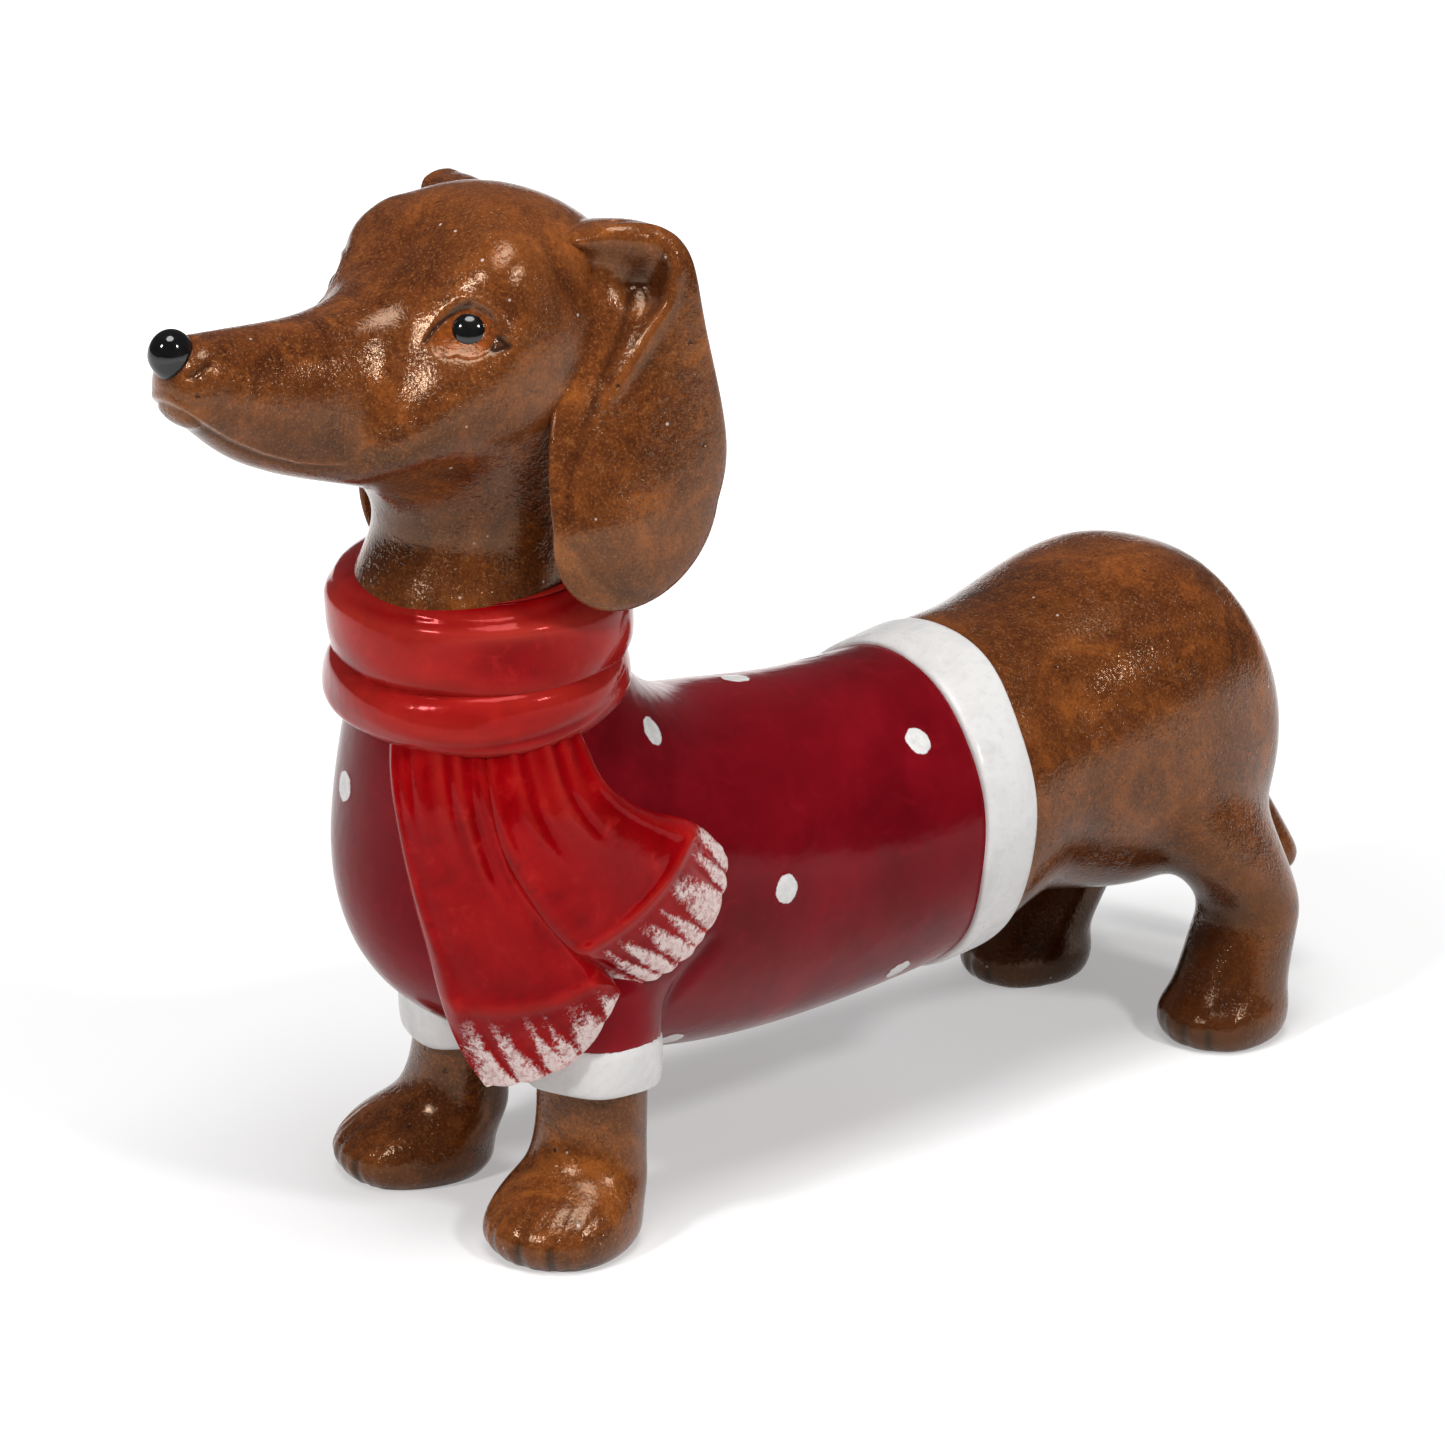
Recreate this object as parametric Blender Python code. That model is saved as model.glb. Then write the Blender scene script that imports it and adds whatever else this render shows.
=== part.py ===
"""Glazed ceramic dachshund figurine: slip castings and applied pieces, luted together.

Metres, +Z up. The dog faces -Y and its left side is +X. The origin is under the middle of
the figurine, on the surface that the four paws stand on.

Every casting is a loft of ovals. A piece that lies against another one is made a little too
deep and its seat is cut with a copy of the other one, grown by the slip gap.
"""

import math

import bmesh
import bpy
import numpy as np
from mathutils import Vector

MM = 0.001

# Joints
SLIP_GAP = 0.3 * MM                  # slip seam between two luted pieces

# Jumper casting: chest and barrel, from the neck rim to the hem seam
NECK_Y = -55.0 * MM                  # axis of the upright neck
NECK_RIM_Z = 92.0 * MM               # top rim, under the scarf
NECK_RIM_RADIUS = 18.0 * MM
CHEST_FRONT_Y = -78.0 * MM
CHEST_Z = 53.0 * MM                  # height of the chest's foremost part
CHEST_HALF_WIDTH = 25.0 * MM
WITHERS_Y = -22.5 * MM
WITHERS_Z = 78.0 * MM
BACK_Z = 72.2 * MM                   # lowest part of the back
BELLY_Z = 19.0 * MM
BARREL_HALF_WIDTH = 27.0 * MM
HEM_Y = 31.5 * MM                    # seam between jumper and hindquarters
HEM_HALF_WIDTH = 25.8 * MM
HEM_TOP_Z = 73.3 * MM
HEM_BOTTOM_Z = 20.6 * MM
HEM_LEAN = 1.0 * MM                  # how far the hem's top lies behind its underside
HEM_RISE = 0.9 * MM                  # rise of the back over half the band's width
HEM_REBATE = 0.8 * MM                # body drawn in under the band

# Hem band over the seam
HEM_BAND_WIDTH = 10.6 * MM
HEM_BAND_THICKNESS = 1.2 * MM
HEM_BAND_ROUND = 0.6 * MM            # rounded edges of the band

# Hindquarters casting
LOIN_HALF_WIDTH = 25.0 * MM
CROUP_Y = 75.5 * MM                  # highest part of the rump
CROUP_Z = 80.5 * MM
RUMP_HALF_WIDTH = 26.2 * MM
FLANK_Z = 24.0 * MM                  # underside of the rump
RUMP_ROUND = 14.0 * MM               # depth of the rounded rear end

# Forelegs, sleeves and cuffs
FORELEG_X = 16.5 * MM
FORELEG_Y = -47.4 * MM
FORELEG_HALF_WIDTH = 9.2 * MM
FORELEG_HALF_DEPTH = 7.4 * MM
SLEEVE_EASE = 2.0 * MM               # sleeve outside the leg
SLEEVE_END_Z = 33.0 * MM
SLEEVE_RISE = 18.0 * MM              # sleeve above its end
ANKLE_RISE = 2.5 * MM                # ankle above the paw
CUFF_HEIGHT = 8.0 * MM
CUFF_THICKNESS = 1.5 * MM

# Hind legs: the right one stands further forward and closer to the middle
LEFT_HIND_LEG_X = 22.4 * MM
LEFT_HIND_LEG_Y = 83.5 * MM
RIGHT_HIND_LEG_X = 17.0 * MM         # measured to the right
RIGHT_HIND_LEG_Y = 79.0 * MM
HIND_LEG_RADIUS = 9.0 * MM
THIGH_HALF_WIDTH = 10.5 * MM
THIGH_HALF_DEPTH = 14.5 * MM
HOCK_Z = 24.0 * MM
THIGH_Z = 46.0 * MM
THIGH_AHEAD = 9.0 * MM               # thigh ahead of the hock
THIGH_INSET = 4.0 * MM               # thigh inside the hock

# Paws
PAW_HEIGHT = 10.5 * MM
FORE_PAW_HALF_WIDTH = 11.5 * MM
FORE_PAW_HALF_LENGTH = 13.3 * MM
FORE_PAW_FORWARD = 6.8 * MM          # paw centre ahead of the leg
FORE_TOE_OUT = math.radians(18.0)
HIND_PAW_HALF_WIDTH = 9.9 * MM
HIND_PAW_HALF_LENGTH = 11.3 * MM
HIND_PAW_FORWARD = 4.5 * MM
HIND_TOE_OUT = math.radians(10.0)
TOE_GROOVE_DEPTH = 0.9 * MM

# Tail
TAIL_ROOT_RADIUS = 5.6 * MM
TAIL_TIP_RADIUS = 4.0 * MM
TAIL_TIP_Z = 19.0 * MM
TAIL_REACH = 33.0 * MM               # tip behind the croup
TAIL_CURL = 7.5 * MM                 # tip to the left

# Head casting, with heights above the neck rim and lengths from the neck axis
NECK_RADIUS = 15.0 * MM
JAW_HALF_WIDTH = 18.5 * MM
JAW_HEIGHT = 30.3 * MM               # underside of the jaw
SKULL_HALF_WIDTH = 21.5 * MM
SKULL_HEIGHT = 68.6 * MM
SKULL_BACK = 24.0 * MM               # behind the neck axis
BROW_HALF_WIDTH = 19.0 * MM
STOP_HALF_WIDTH = 13.4 * MM
STOP_RISE = 4.2 * MM                 # above the muzzle's top line
MUZZLE_HEIGHT = 56.0 * MM            # top line of the muzzle
MUZZLE_HALF_WIDTH = 8.3 * MM
MUZZLE_LENGTH = 51.0 * MM            # front of the muzzle, ahead of the neck axis
MUZZLE_ROUND = 4.0 * MM
CHIN_HEIGHT = 42.8 * MM

# Nose and eyes
NOSE_RADIUS = 3.5 * MM
NOSE_AHEAD = 3.0 * MM                # nose centre ahead of the muzzle
NOSE_DROP = 1.0 * MM                 # nose centre under the muzzle's top line
EYE_RADIUS = 2.9 * MM
EYE_AHEAD = 2.8 * MM                 # top of the eye's section, ahead of the neck axis
EYE_DROP = 18.0 * MM                 # eye below the top of that section
EYE_INSET = 2.1 * MM                 # eye centre inside the head's surface

# Ears
EAR_BEHIND = 16.2 * MM               # top of the root's section, behind the neck axis
EAR_ROOT_DROP = 4.0 * MM             # root below the top of that section
EAR_ROOT_DEPTH = 1.5 * MM            # root inside the head's surface, before the seat is cut
EAR_TOP = 6.0 * MM                   # fold above the root
EAR_LENGTH = 55.5 * MM
EAR_STAND_OFF = 5.5 * MM             # lobe outside the skull
EAR_HALF_WIDTH = 14.4 * MM
EAR_THICKNESS = 5.6 * MM

# Scarf
SCARF_WRAP = 4.5 * MM                # turns outside the neck rim
SCARF_LAP = 3.0 * MM                 # turns inside the neck's outside, before the seat is cut
SCARF_LOWER_DROP = 6.5 * MM          # middle of the lower turn below the neck rim
SCARF_LOWER_HEIGHT = 11.0 * MM
SCARF_UPPER_RISE = 5.5 * MM          # middle of the upper turn above the neck rim
SCARF_UPPER_HEIGHT = 16.0 * MM
SCARF_END_PROUD = 3.4 * MM           # thickness of the hanging ends on the jumper
SCARF_END_DEPTH = 3.5 * MM           # clay under it, before the seat is cut
SCARF_END_HALF_WIDTH = 12.5 * MM     # at the fringe
SCARF_TIP_DROP = 10.3 * MM           # front tip below the chest
FRINGE_DEPTH = 1.1 * MM
FRINGE_FLUTES = 7

# Facets
RING = 28                            # points round a casting
STEPS = 2                            # rings between two stated sections
HEM_ROW = 9                          # the body's section at the hem seam


# Lofts

def section(centre, side, lift, square=2.0, bias=0.0, sag=0.0):
    """An oval about centre with half axes side and lift.

    square above 2 fills the corners, bias widens the lift end, and sag bends both ends of
    the side axis back, for an oval that lies on a rounded body.
    """
    return np.array([*centre, *side, *lift, square, bias, sag], float)


def profile(back, front, half_width, square=2.0, bias=0.0):
    """A section across the symmetry plane, between two (y, z) points of the side view."""
    centre = (0.0, (back[0] + front[0]) / 2, (back[1] + front[1]) / 2)
    lift = (0.0, (back[0] - front[0]) / 2, (back[1] - front[1]) / 2)
    return section(centre, (half_width, 0.0, 0.0), lift, square, bias)


def between(start, end, share):
    return start + (end - start) * share


def spline(rows):
    """A natural cubic spline through the rows, as a function of the row number."""
    rows = np.array(rows)
    count = len(rows)
    band = 4 * np.eye(count - 2) + np.eye(count - 2, k=1) + np.eye(count - 2, k=-1)
    bend = np.zeros_like(rows)
    bend[1:-1] = np.linalg.solve(band, 6 * (rows[:-2] - 2 * rows[1:-1] + rows[2:]))

    def at(place):
        i = min(int(place), count - 2)
        b = place - i
        a = 1 - b
        curve = (a**3 - a) * bend[i] + (b**3 - b) * bend[i + 1]
        return a * rows[i] + b * rows[i + 1] + curve / 6

    return at


def smooth(rows, steps=STEPS):
    at = spline(rows)
    return [at(i / steps) for i in range((len(rows) - 1) * steps + 1)]


def dome(last, reach, steps=3):
    """Rings that round off a loft beyond its last section, over the vector reach."""
    rings = []
    for i in range(1, steps + 1):
        turn = math.radians(80) * i / steps
        ring = last.copy()
        ring[0:3] += np.array(reach) * math.sin(turn)
        ring[3:9] *= math.cos(turn)
        rings.append(ring)
    return rings


def oval_point(row, angle):
    centre, side, lift = row[0:3], row[3:6], row[6:9]
    square, bias, sag = row[9:12]
    across, along = math.cos(angle), math.sin(angle)
    across = math.copysign(abs(across) ** (2 / square), across)
    along = math.copysign(abs(along) ** (2 / square), along)
    back = lift / np.linalg.norm(lift) * sag * across**2
    return Vector(centre + side * across * (1 + bias * along) + lift * along - back)


def loop_edges(bm, loop):
    return [bm.edges.get(pair) for pair in zip(loop, loop[1:] + loop[:1])]


def loft(name, rings, points=RING, relief=None):
    """A closed mesh through the rings, with a flat face on each end.

    relief(ring number, angle) gives a vector that is added to a point.
    """
    bm = bmesh.new()
    loops = []
    for number, row in enumerate(rings):
        verts = bmesh.ops.create_circle(bm, segments=points, radius=1.0)["verts"]
        for i, vert in enumerate(verts):
            angle = 2 * math.pi * i / points
            vert.co = oval_point(row, angle)
            if relief:
                vert.co += Vector(relief(number, angle))
        loops.append(verts)
    for before, after in zip(loops, loops[1:]):
        bmesh.ops.bridge_loops(bm, edges=loop_edges(bm, before) + loop_edges(bm, after))
    for end in (loops[0], loops[-1]):
        bmesh.ops.edgeloop_fill(bm, edges=loop_edges(bm, end))
    return finished_mesh(name, bm)


def finished_mesh(name, bm):
    bmesh.ops.recalc_face_normals(bm, faces=bm.faces)
    mesh = bpy.data.meshes.new(name)
    bm.to_mesh(mesh)
    bm.free()
    mesh.shade_smooth()
    return mesh


def ball(name, centre, radius, points=12):
    bm = bmesh.new()
    bmesh.ops.create_uvsphere(bm, u_segments=points, v_segments=points // 2 + 1, radius=radius)
    bmesh.ops.translate(bm, verts=bm.verts, vec=centre)
    return finished_mesh(name, bm)


def mirrored(mesh, name):
    """The same piece on the dog's right side."""
    bm = bmesh.new()
    bm.from_mesh(mesh)
    bmesh.ops.scale(bm, verts=bm.verts, vec=(-1, 1, 1))
    return finished_mesh(name, bm)


def grown(mesh):
    """The mesh grown by the slip gap, to cut the seat of a piece that lies against it."""
    bm = bmesh.new()
    bm.from_mesh(mesh)
    bm.normal_update()
    moves = [vert.normal * vert.calc_shell_factor() * SLIP_GAP for vert in bm.verts]
    for vert, move in zip(bm.verts, moves):
        vert.co += move
    return finished_mesh(mesh.name + "_seat", bm)


# Section rows

def hem_row(offset, rise, grow):
    """The body's oval at the hem, offset along the body and grown all round."""
    back = (HEM_Y + offset + HEM_LEAN / 2, HEM_TOP_Z + rise + grow)
    front = (HEM_Y + offset - HEM_LEAN / 2, HEM_BOTTOM_Z + max(rise, 0) - grow)
    return profile(back, front, HEM_HALF_WIDTH - 0.3 * rise + grow)


def barrel_row(back_share, back_rise, belly_share, belly_rise, half_width):
    """A section between shoulders and hem, its ends as shares of the back's and belly's run."""
    back_y = between(WITHERS_Y, HEM_Y, back_share)
    back_z = between(BACK_Z, WITHERS_Z, back_rise)
    belly_y = between(CHEST_FRONT_Y, HEM_Y, belly_share)
    belly_z = between(BELLY_Z, CHEST_Z, belly_rise)
    return profile((back_y, back_z), (belly_y, belly_z), half_width)


def rump_row(back_share, rise, flank_rise, half_width):
    """A section between hem and croup."""
    y = between(HEM_Y, CROUP_Y, back_share)
    back_z = between(HEM_TOP_Z, CROUP_Z, rise)
    return profile((y, back_z), (y, between(HEM_BOTTOM_Z, FLANK_Z, flank_rise)), half_width)


def body_rows():
    """Sections of the whole body. The hem seam between the two castings is row HEM_ROW."""
    rim, chest, barrel, rump = NECK_RIM_RADIUS, CHEST_HALF_WIDTH, BARREL_HALF_WIDTH, RUMP_HALF_WIDTH
    neck, rim_z = NECK_Y, NECK_RIM_Z
    throat = between(neck - rim, CHEST_FRONT_Y, 0.6)
    nape = between(neck + rim, WITHERS_Y, 0.25)
    rear = CROUP_Y + 0.79 * RUMP_ROUND
    fall = 0.18 * RUMP_ROUND
    return [
        profile((neck + rim, rim_z), (neck - rim, rim_z), rim),
        profile((nape, between(rim_z, WITHERS_Z, 0.36)), (throat, between(rim_z, CHEST_Z, 0.33)),
                between(rim, chest, 0.36)),
        profile((between(nape, WITHERS_Y, 0.41), between(rim_z, WITHERS_Z, 0.72)),
                (CHEST_FRONT_Y, between(rim_z, CHEST_Z, 0.67)), between(rim, chest, 0.71)),
        profile((WITHERS_Y, WITHERS_Z), (CHEST_FRONT_Y, CHEST_Z), chest),
        barrel_row(0.14, 0.55, 0.055, 0.635, between(chest, barrel, 0.75)),
        barrel_row(0.315, 0.345, 0.17, 0.34, barrel),
        barrel_row(0.5, 0.12, 0.365, 0.1, barrel),
        barrel_row(0.71, 0.0, 0.64, 0.0, between(barrel, HEM_HALF_WIDTH, 0.4)),
        hem_row(-HEM_BAND_WIDTH / 2, -HEM_RISE, 0.0),
        hem_row(0.0, 0.0, -HEM_REBATE),
        hem_row(HEM_BAND_WIDTH / 2, HEM_RISE, 0.0),
        rump_row(0.385, 0.32, 0.41, LOIN_HALF_WIDTH),
        rump_row(0.69, 0.75, 0.47, between(LOIN_HALF_WIDTH, rump, 0.67)),
        rump_row(1.0, 1.0, 1.0, rump),
        profile((rear, CROUP_Z - fall), (rear, FLANK_Z + 2 * fall), rump - 0.64 * fall),
    ]


def jumper_rings():
    return smooth(body_rows())[: HEM_ROW * STEPS + 1]


def rump_rings():
    rings = smooth(body_rows())[HEM_ROW * STEPS :]
    rings[0][1] += SLIP_GAP
    return rings + dome(rings[-1], (0, 0.86 * RUMP_ROUND, -0.34 * RUMP_ROUND))


def hem_seat_rings():
    """The body under the band, as one solid across the seam."""
    return smooth(body_rows())[(HEM_ROW - 2) * STEPS : (HEM_ROW + 2) * STEPS + 1]


def hem_band_rings():
    edge, half, outside = 0.2 * HEM_BAND_THICKNESS + SLIP_GAP, HEM_BAND_WIDTH / 2, HEM_BAND_THICKNESS
    return [
        hem_row(-half, -HEM_RISE, edge),
        hem_row(-half + HEM_BAND_ROUND, -HEM_RISE, outside),
        hem_row(0.0, 0.0, outside),
        hem_row(half - HEM_BAND_ROUND, HEM_RISE, outside),
        hem_row(half, HEM_RISE, edge),
    ]


def head_point(ahead, height):
    """A side-view point, ahead of the neck axis and above the neck rim."""
    return NECK_Y - ahead, NECK_RIM_Z + height


def head_rows():
    """Sections up the neck, over the skull and out along the muzzle."""
    at, neck, back, tall = head_point, NECK_RADIUS, SKULL_BACK, SKULL_HEIGHT
    jaw, skull, stop, wide = JAW_HALF_WIDTH, SKULL_HALF_WIDTH, STOP_HALF_WIDTH, MUZZLE_HALF_WIDTH
    long, top, low, chin = MUZZLE_LENGTH, MUZZLE_HEIGHT, JAW_HEIGHT, CHIN_HEIGHT
    return [
        profile(at(-neck, SLIP_GAP), at(neck, SLIP_GAP), neck),
        profile(at(-neck, 0.15 * tall), at(neck, 0.29 * low), neck),
        profile(at(between(-neck, -back, 0.44), 0.32 * tall), at(1.07 * neck, 0.6 * low), 1.07 * neck),
        profile(at(-back, 0.56 * tall), at(0.35 * long, 0.83 * low), jaw),
        profile(at(-0.96 * back, 0.81 * tall), at(0.43 * long, 0.94 * low), skull),
        profile(at(-0.33 * back, 0.99 * tall), at(0.52 * long, low), skull),
        profile(at(0.11 * long, 0.985 * tall), at(0.58 * long, between(low, chin, 0.12)), BROW_HALF_WIDTH),
        profile(at(0.29 * long, top + STOP_RISE), at(0.66 * long, between(low, chin, 0.24)),
                stop, 2.0, -0.12),
        profile(at(0.52 * long, 0.984 * top), at(0.765 * long, between(low, chin, 0.43)),
                between(stop, wide, 0.67), 2.0, -0.12),
        profile(at(0.765 * long, 0.995 * top), at(0.88 * long, between(low, chin, 0.67)), wide),
        profile(at(0.95 * long, 1.005 * top), at(long, chin), 0.76 * wide),
    ]


def head_side(ahead, drop):
    """A point on the head's left side, drop below the top of a section.

    ahead says where the top of that section lies, ahead of the neck axis.
    """
    at = spline(head_rows())
    low, high = 3.0, 9.0
    for _ in range(40):
        middle = (low + high) / 2
        row = at(middle)
        if row[1] + row[7] > NECK_Y - ahead:
            low = middle
        else:
            high = middle
    row = at(low)
    return oval_point(row, math.asin(1 - drop / np.linalg.norm(row[6:9])))


def leg_row(x, y, z, forward, half_width, half_length, toe_out):
    """A level section of a left leg, moved forward along the turned-out paw."""
    ahead = np.array([math.sin(toe_out), -math.cos(toe_out), 0.0])
    side = np.array([math.cos(toe_out), math.sin(toe_out), 0.0])
    centre = np.array([x, y, z]) + ahead * forward
    return section(centre, side * half_width, ahead * half_length, 2.2)


def paw_rows(x, y, half_width, half_length, forward, toe_out):
    shape = (  # shares of paw height, forward shift, width and length
        (0.88, 0.55, 0.90, 0.87),
        (0.52, 0.96, 1.0, 1.0),
        (0.20, 1.02, 0.98, 0.99),
        (0.0, 1.0, 0.86, 0.87),
    )
    return [
        leg_row(x, y, PAW_HEIGHT * h, forward * f, half_width * w, half_length * n, toe_out)
        for h, f, w, n in shape
    ]


def toe_relief(rings, first, toe_out):
    """Three grooves between the toes, over the rings from number first to the sole."""
    ahead = np.array([math.sin(toe_out), -math.cos(toe_out), 0.0])

    def relief(number, angle):
        off = math.degrees(angle) - 90
        groove = sum(math.exp(-((off - at) / 7) ** 2) for at in (-26, 0, 26))
        depth = TOE_GROOVE_DEPTH * groove if first <= number < rings - 1 else 0.0
        return tuple(-ahead * depth)

    return relief


def leg_mesh(name, rows, toe_out):
    rings = smooth(rows)
    return loft(name, rings, 32, toe_relief(len(rings), len(rings) - 7, toe_out))


def foreleg_mesh():
    x, y, turn = FORELEG_X, FORELEG_Y, FORE_TOE_OUT
    width, depth = FORELEG_HALF_WIDTH, FORELEG_HALF_DEPTH
    top = SLEEVE_END_Z - SLIP_GAP
    rows = [
        leg_row(x, y, top, 0.0, width, depth, turn),
        leg_row(x, y, (top + PAW_HEIGHT) / 2, 0.0, width, depth, turn),
        leg_row(x, y, PAW_HEIGHT + ANKLE_RISE, 0.5 * ANKLE_RISE, width, depth + 0.5 * ANKLE_RISE, turn),
    ]
    rows += paw_rows(x, y, FORE_PAW_HALF_WIDTH, FORE_PAW_HALF_LENGTH, FORE_PAW_FORWARD, turn)
    return leg_mesh("left_foreleg", rows, turn)


def hind_leg_mesh(name, x, y):
    turn, radius = HIND_TOE_OUT, HIND_LEG_RADIUS
    wide, deep = THIGH_HALF_WIDTH, THIGH_HALF_DEPTH
    rows = [
        leg_row(x - THIGH_INSET, y - THIGH_AHEAD, THIGH_Z, 0.0, 0.95 * wide, deep, turn),
        leg_row(x - 0.25 * THIGH_INSET, y - 0.55 * THIGH_AHEAD, (THIGH_Z + HOCK_Z) / 2, 0.0,
                wide, 0.965 * deep, turn),
        leg_row(x, y, HOCK_Z, 0.0, 1.07 * radius, 1.27 * radius, turn),
        leg_row(x, y, (HOCK_Z + PAW_HEIGHT) / 2, 0.0, radius, 1.11 * radius, turn),
    ]
    rows += paw_rows(x, y, HIND_PAW_HALF_WIDTH, HIND_PAW_HALF_LENGTH, HIND_PAW_FORWARD, turn)
    return leg_mesh(name, rows, turn)


def sleeve_mesh():
    x, y, turn = FORELEG_X, FORELEG_Y, FORE_TOE_OUT
    width, depth = FORELEG_HALF_WIDTH + SLEEVE_EASE, FORELEG_HALF_DEPTH + SLEEVE_EASE
    end = SLEEVE_END_Z
    rows = [
        leg_row(0.82 * x, y + SLEEVE_EASE, end + SLEEVE_RISE, 0.0, width, depth + SLEEVE_EASE, turn),
        leg_row(0.97 * x, y, end + 0.45 * SLEEVE_RISE, 0.0, 1.04 * width, 1.15 * depth, turn),
        leg_row(x, y, end, 0.0, width, depth, turn),
    ]
    return loft("left_sleeve", smooth(rows), 22)


def cuff_mesh():
    x, y, turn = FORELEG_X, FORELEG_Y, FORE_TOE_OUT
    width = FORELEG_HALF_WIDTH + SLIP_GAP + CUFF_THICKNESS
    depth = FORELEG_HALF_DEPTH + SLIP_GAP + CUFF_THICKNESS
    shape = ((0.0, -0.2), (0.15, 0.07), (0.85, 0.2), (1.0, -0.13))  # shares of height and thickness
    top = SLEEVE_END_Z - SLIP_GAP
    rings = []
    for share, swell in shape:
        grow = swell * CUFF_THICKNESS
        rings.append(leg_row(x, y, top - share * CUFF_HEIGHT, 0.0, width + grow, depth + grow, turn))
    return loft("left_cuff", rings, 24)


def tail_mesh():
    drop = CROUP_Z - TAIL_TIP_Z
    spine = (  # shares of curl, reach and drop
        (0.0, 0.26, 0.235),
        (0.0, 0.455, 0.335),
        (0.0, 0.6, 0.48),
        (0.2, 0.69, 0.64),
        (0.6, 0.85, 0.82),
        (1.0, 1.0, 1.0),
    )
    rows = []
    for i, (curl, reach, fall) in enumerate(spine):
        share = i / (len(spine) - 1)
        centre = (curl * TAIL_CURL, CROUP_Y + reach * TAIL_REACH, CROUP_Z - fall * drop)
        radius = between(TAIL_ROOT_RADIUS, TAIL_TIP_RADIUS, share)
        tilt = math.radians(50 + 35 * share)
        lift = (0, radius * math.sin(tilt), radius * math.cos(tilt))
        rows.append(section(centre, (radius, 0, 0), lift))
    return loft("tail", smooth(rows) + dome(rows[-1], (0.12 * TAIL_TIP_RADIUS, 0, -TAIL_TIP_RADIUS)), 12)


def ear_mesh():
    """A flap that leaves the skull at its root, folds over and hangs as a lobe."""
    x, y, z = head_side(-EAR_BEHIND, EAR_ROOT_DROP)
    top, away = z + EAR_TOP, EAR_STAND_OFF
    out = SKULL_HALF_WIDTH + away
    long, thick, wide = EAR_LENGTH, EAR_THICKNESS / 2, EAR_HALF_WIDTH
    foot = top - long
    rows = [
        section((x - EAR_ROOT_DEPTH, y, z), (0, 0, 1.07 * thick), (0, 0.38 * wide, 0)),
        section((between(x, out, 0.6), y, top - 1.07 * thick), (0.36 * thick, 0, 1.07 * thick),
                (0, 0.41 * wide, 0)),
        section((out - 0.5 * away, y - 0.03 * wide, top - 2.1 * thick), (thick, 0, 0.43 * thick),
                (0, 0.5 * wide, 0)),
        section((out - 0.3 * away, y - 0.18 * wide, top - 0.29 * long), (thick, 0, 0),
                (0, 0.71 * wide, 0)),
        section((out, y - 0.29 * wide, foot + 0.43 * long), (thick, 0, 0), (0, 0.95 * wide, 0)),
        section((out + 0.2 * away, y - 0.42 * wide, foot + 0.25 * long), (thick, 0, 0), (0, wide, 0)),
    ]
    return loft("left_ear", smooth(rows) + dome(rows[-1], (0, 0, -0.25 * long)), 24)


# Scarf

def turn_mesh(name, height, tall, steps):
    """One turn of the scarf: an oval spun round the neck axis."""
    outside = NECK_RIM_RADIUS + SCARF_WRAP
    inside = NECK_RADIUS - SCARF_LAP
    bm = bmesh.new()
    verts = bmesh.ops.create_circle(bm, segments=10, radius=1.0)["verts"]
    for vert in verts:
        radius = (outside + inside) / 2 + (outside - inside) / 2 * vert.co.x
        vert.co = Vector((radius, NECK_Y, NECK_RIM_Z + height + tall / 2 * vert.co.y))
    bmesh.ops.spin(
        bm, geom=verts + list(bm.edges), cent=(0, NECK_Y, 0), axis=(0, 0, 1),
        angle=2 * math.pi, steps=steps, use_merge=True,
    )
    return finished_mesh(name, bm)


def on_jumper(row, degrees):
    """A point on the jumper's outside and the outward normal there."""
    at = spline(body_rows())
    angle, step = math.radians(degrees), 0.02
    here = oval_point(at(row), angle)
    along = oval_point(at(row + step), angle) - oval_point(at(row - step), angle)
    round_it = oval_point(at(row), angle + step) - oval_point(at(row), angle - step)
    normal = along.cross(round_it).normalized()
    outward = here - Vector(at(row)[0:3])
    return here, normal if normal.dot(outward) > 0 else -normal


def scarf_row(place, side, sag, depth=1.0, move=(0, 0, 0)):
    """A section of a hanging end, with its middle on the jumper.

    side is its half width as a vector and sag its bend round the body, both as shares of the
    half width at the fringe; depth and move are shares of the clay's depth and of the tip's drop.
    """
    middle, normal = on_jumper(*place)
    thick = (SCARF_END_PROUD + depth * SCARF_END_DEPTH) / 2
    middle = middle + normal * (SCARF_END_PROUD - thick) + Vector(move) * SCARF_TIP_DROP
    half = SCARF_END_HALF_WIDTH
    return section(middle, Vector(side) * half, normal * thick, 3.0, 0.0, sag * half)


def fringe_relief(rings, rows):
    """Flutes on the outside of the fringe, over the last interval of an end."""
    first = rings - STEPS - 1

    def relief(number, angle):
        if number < first or math.sin(angle) <= 0:
            return (0, 0, 0)
        lift = rows[number][6:9]
        share = (number - first + 1) / (rings - first)
        wave = 0.5 + 0.5 * math.cos(math.pi * FRINGE_FLUTES * (1 - 2 * angle / math.pi))
        depth = FRINGE_DEPTH * share * wave * math.sin(angle)
        return tuple(-lift / np.linalg.norm(lift) * depth)

    return relief


def scarf_end_mesh(name, rows, fluted=True):
    rings = smooth(rows)
    return loft(name, rings, 52, fringe_relief(len(rings), rings) if fluted else None)


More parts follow.
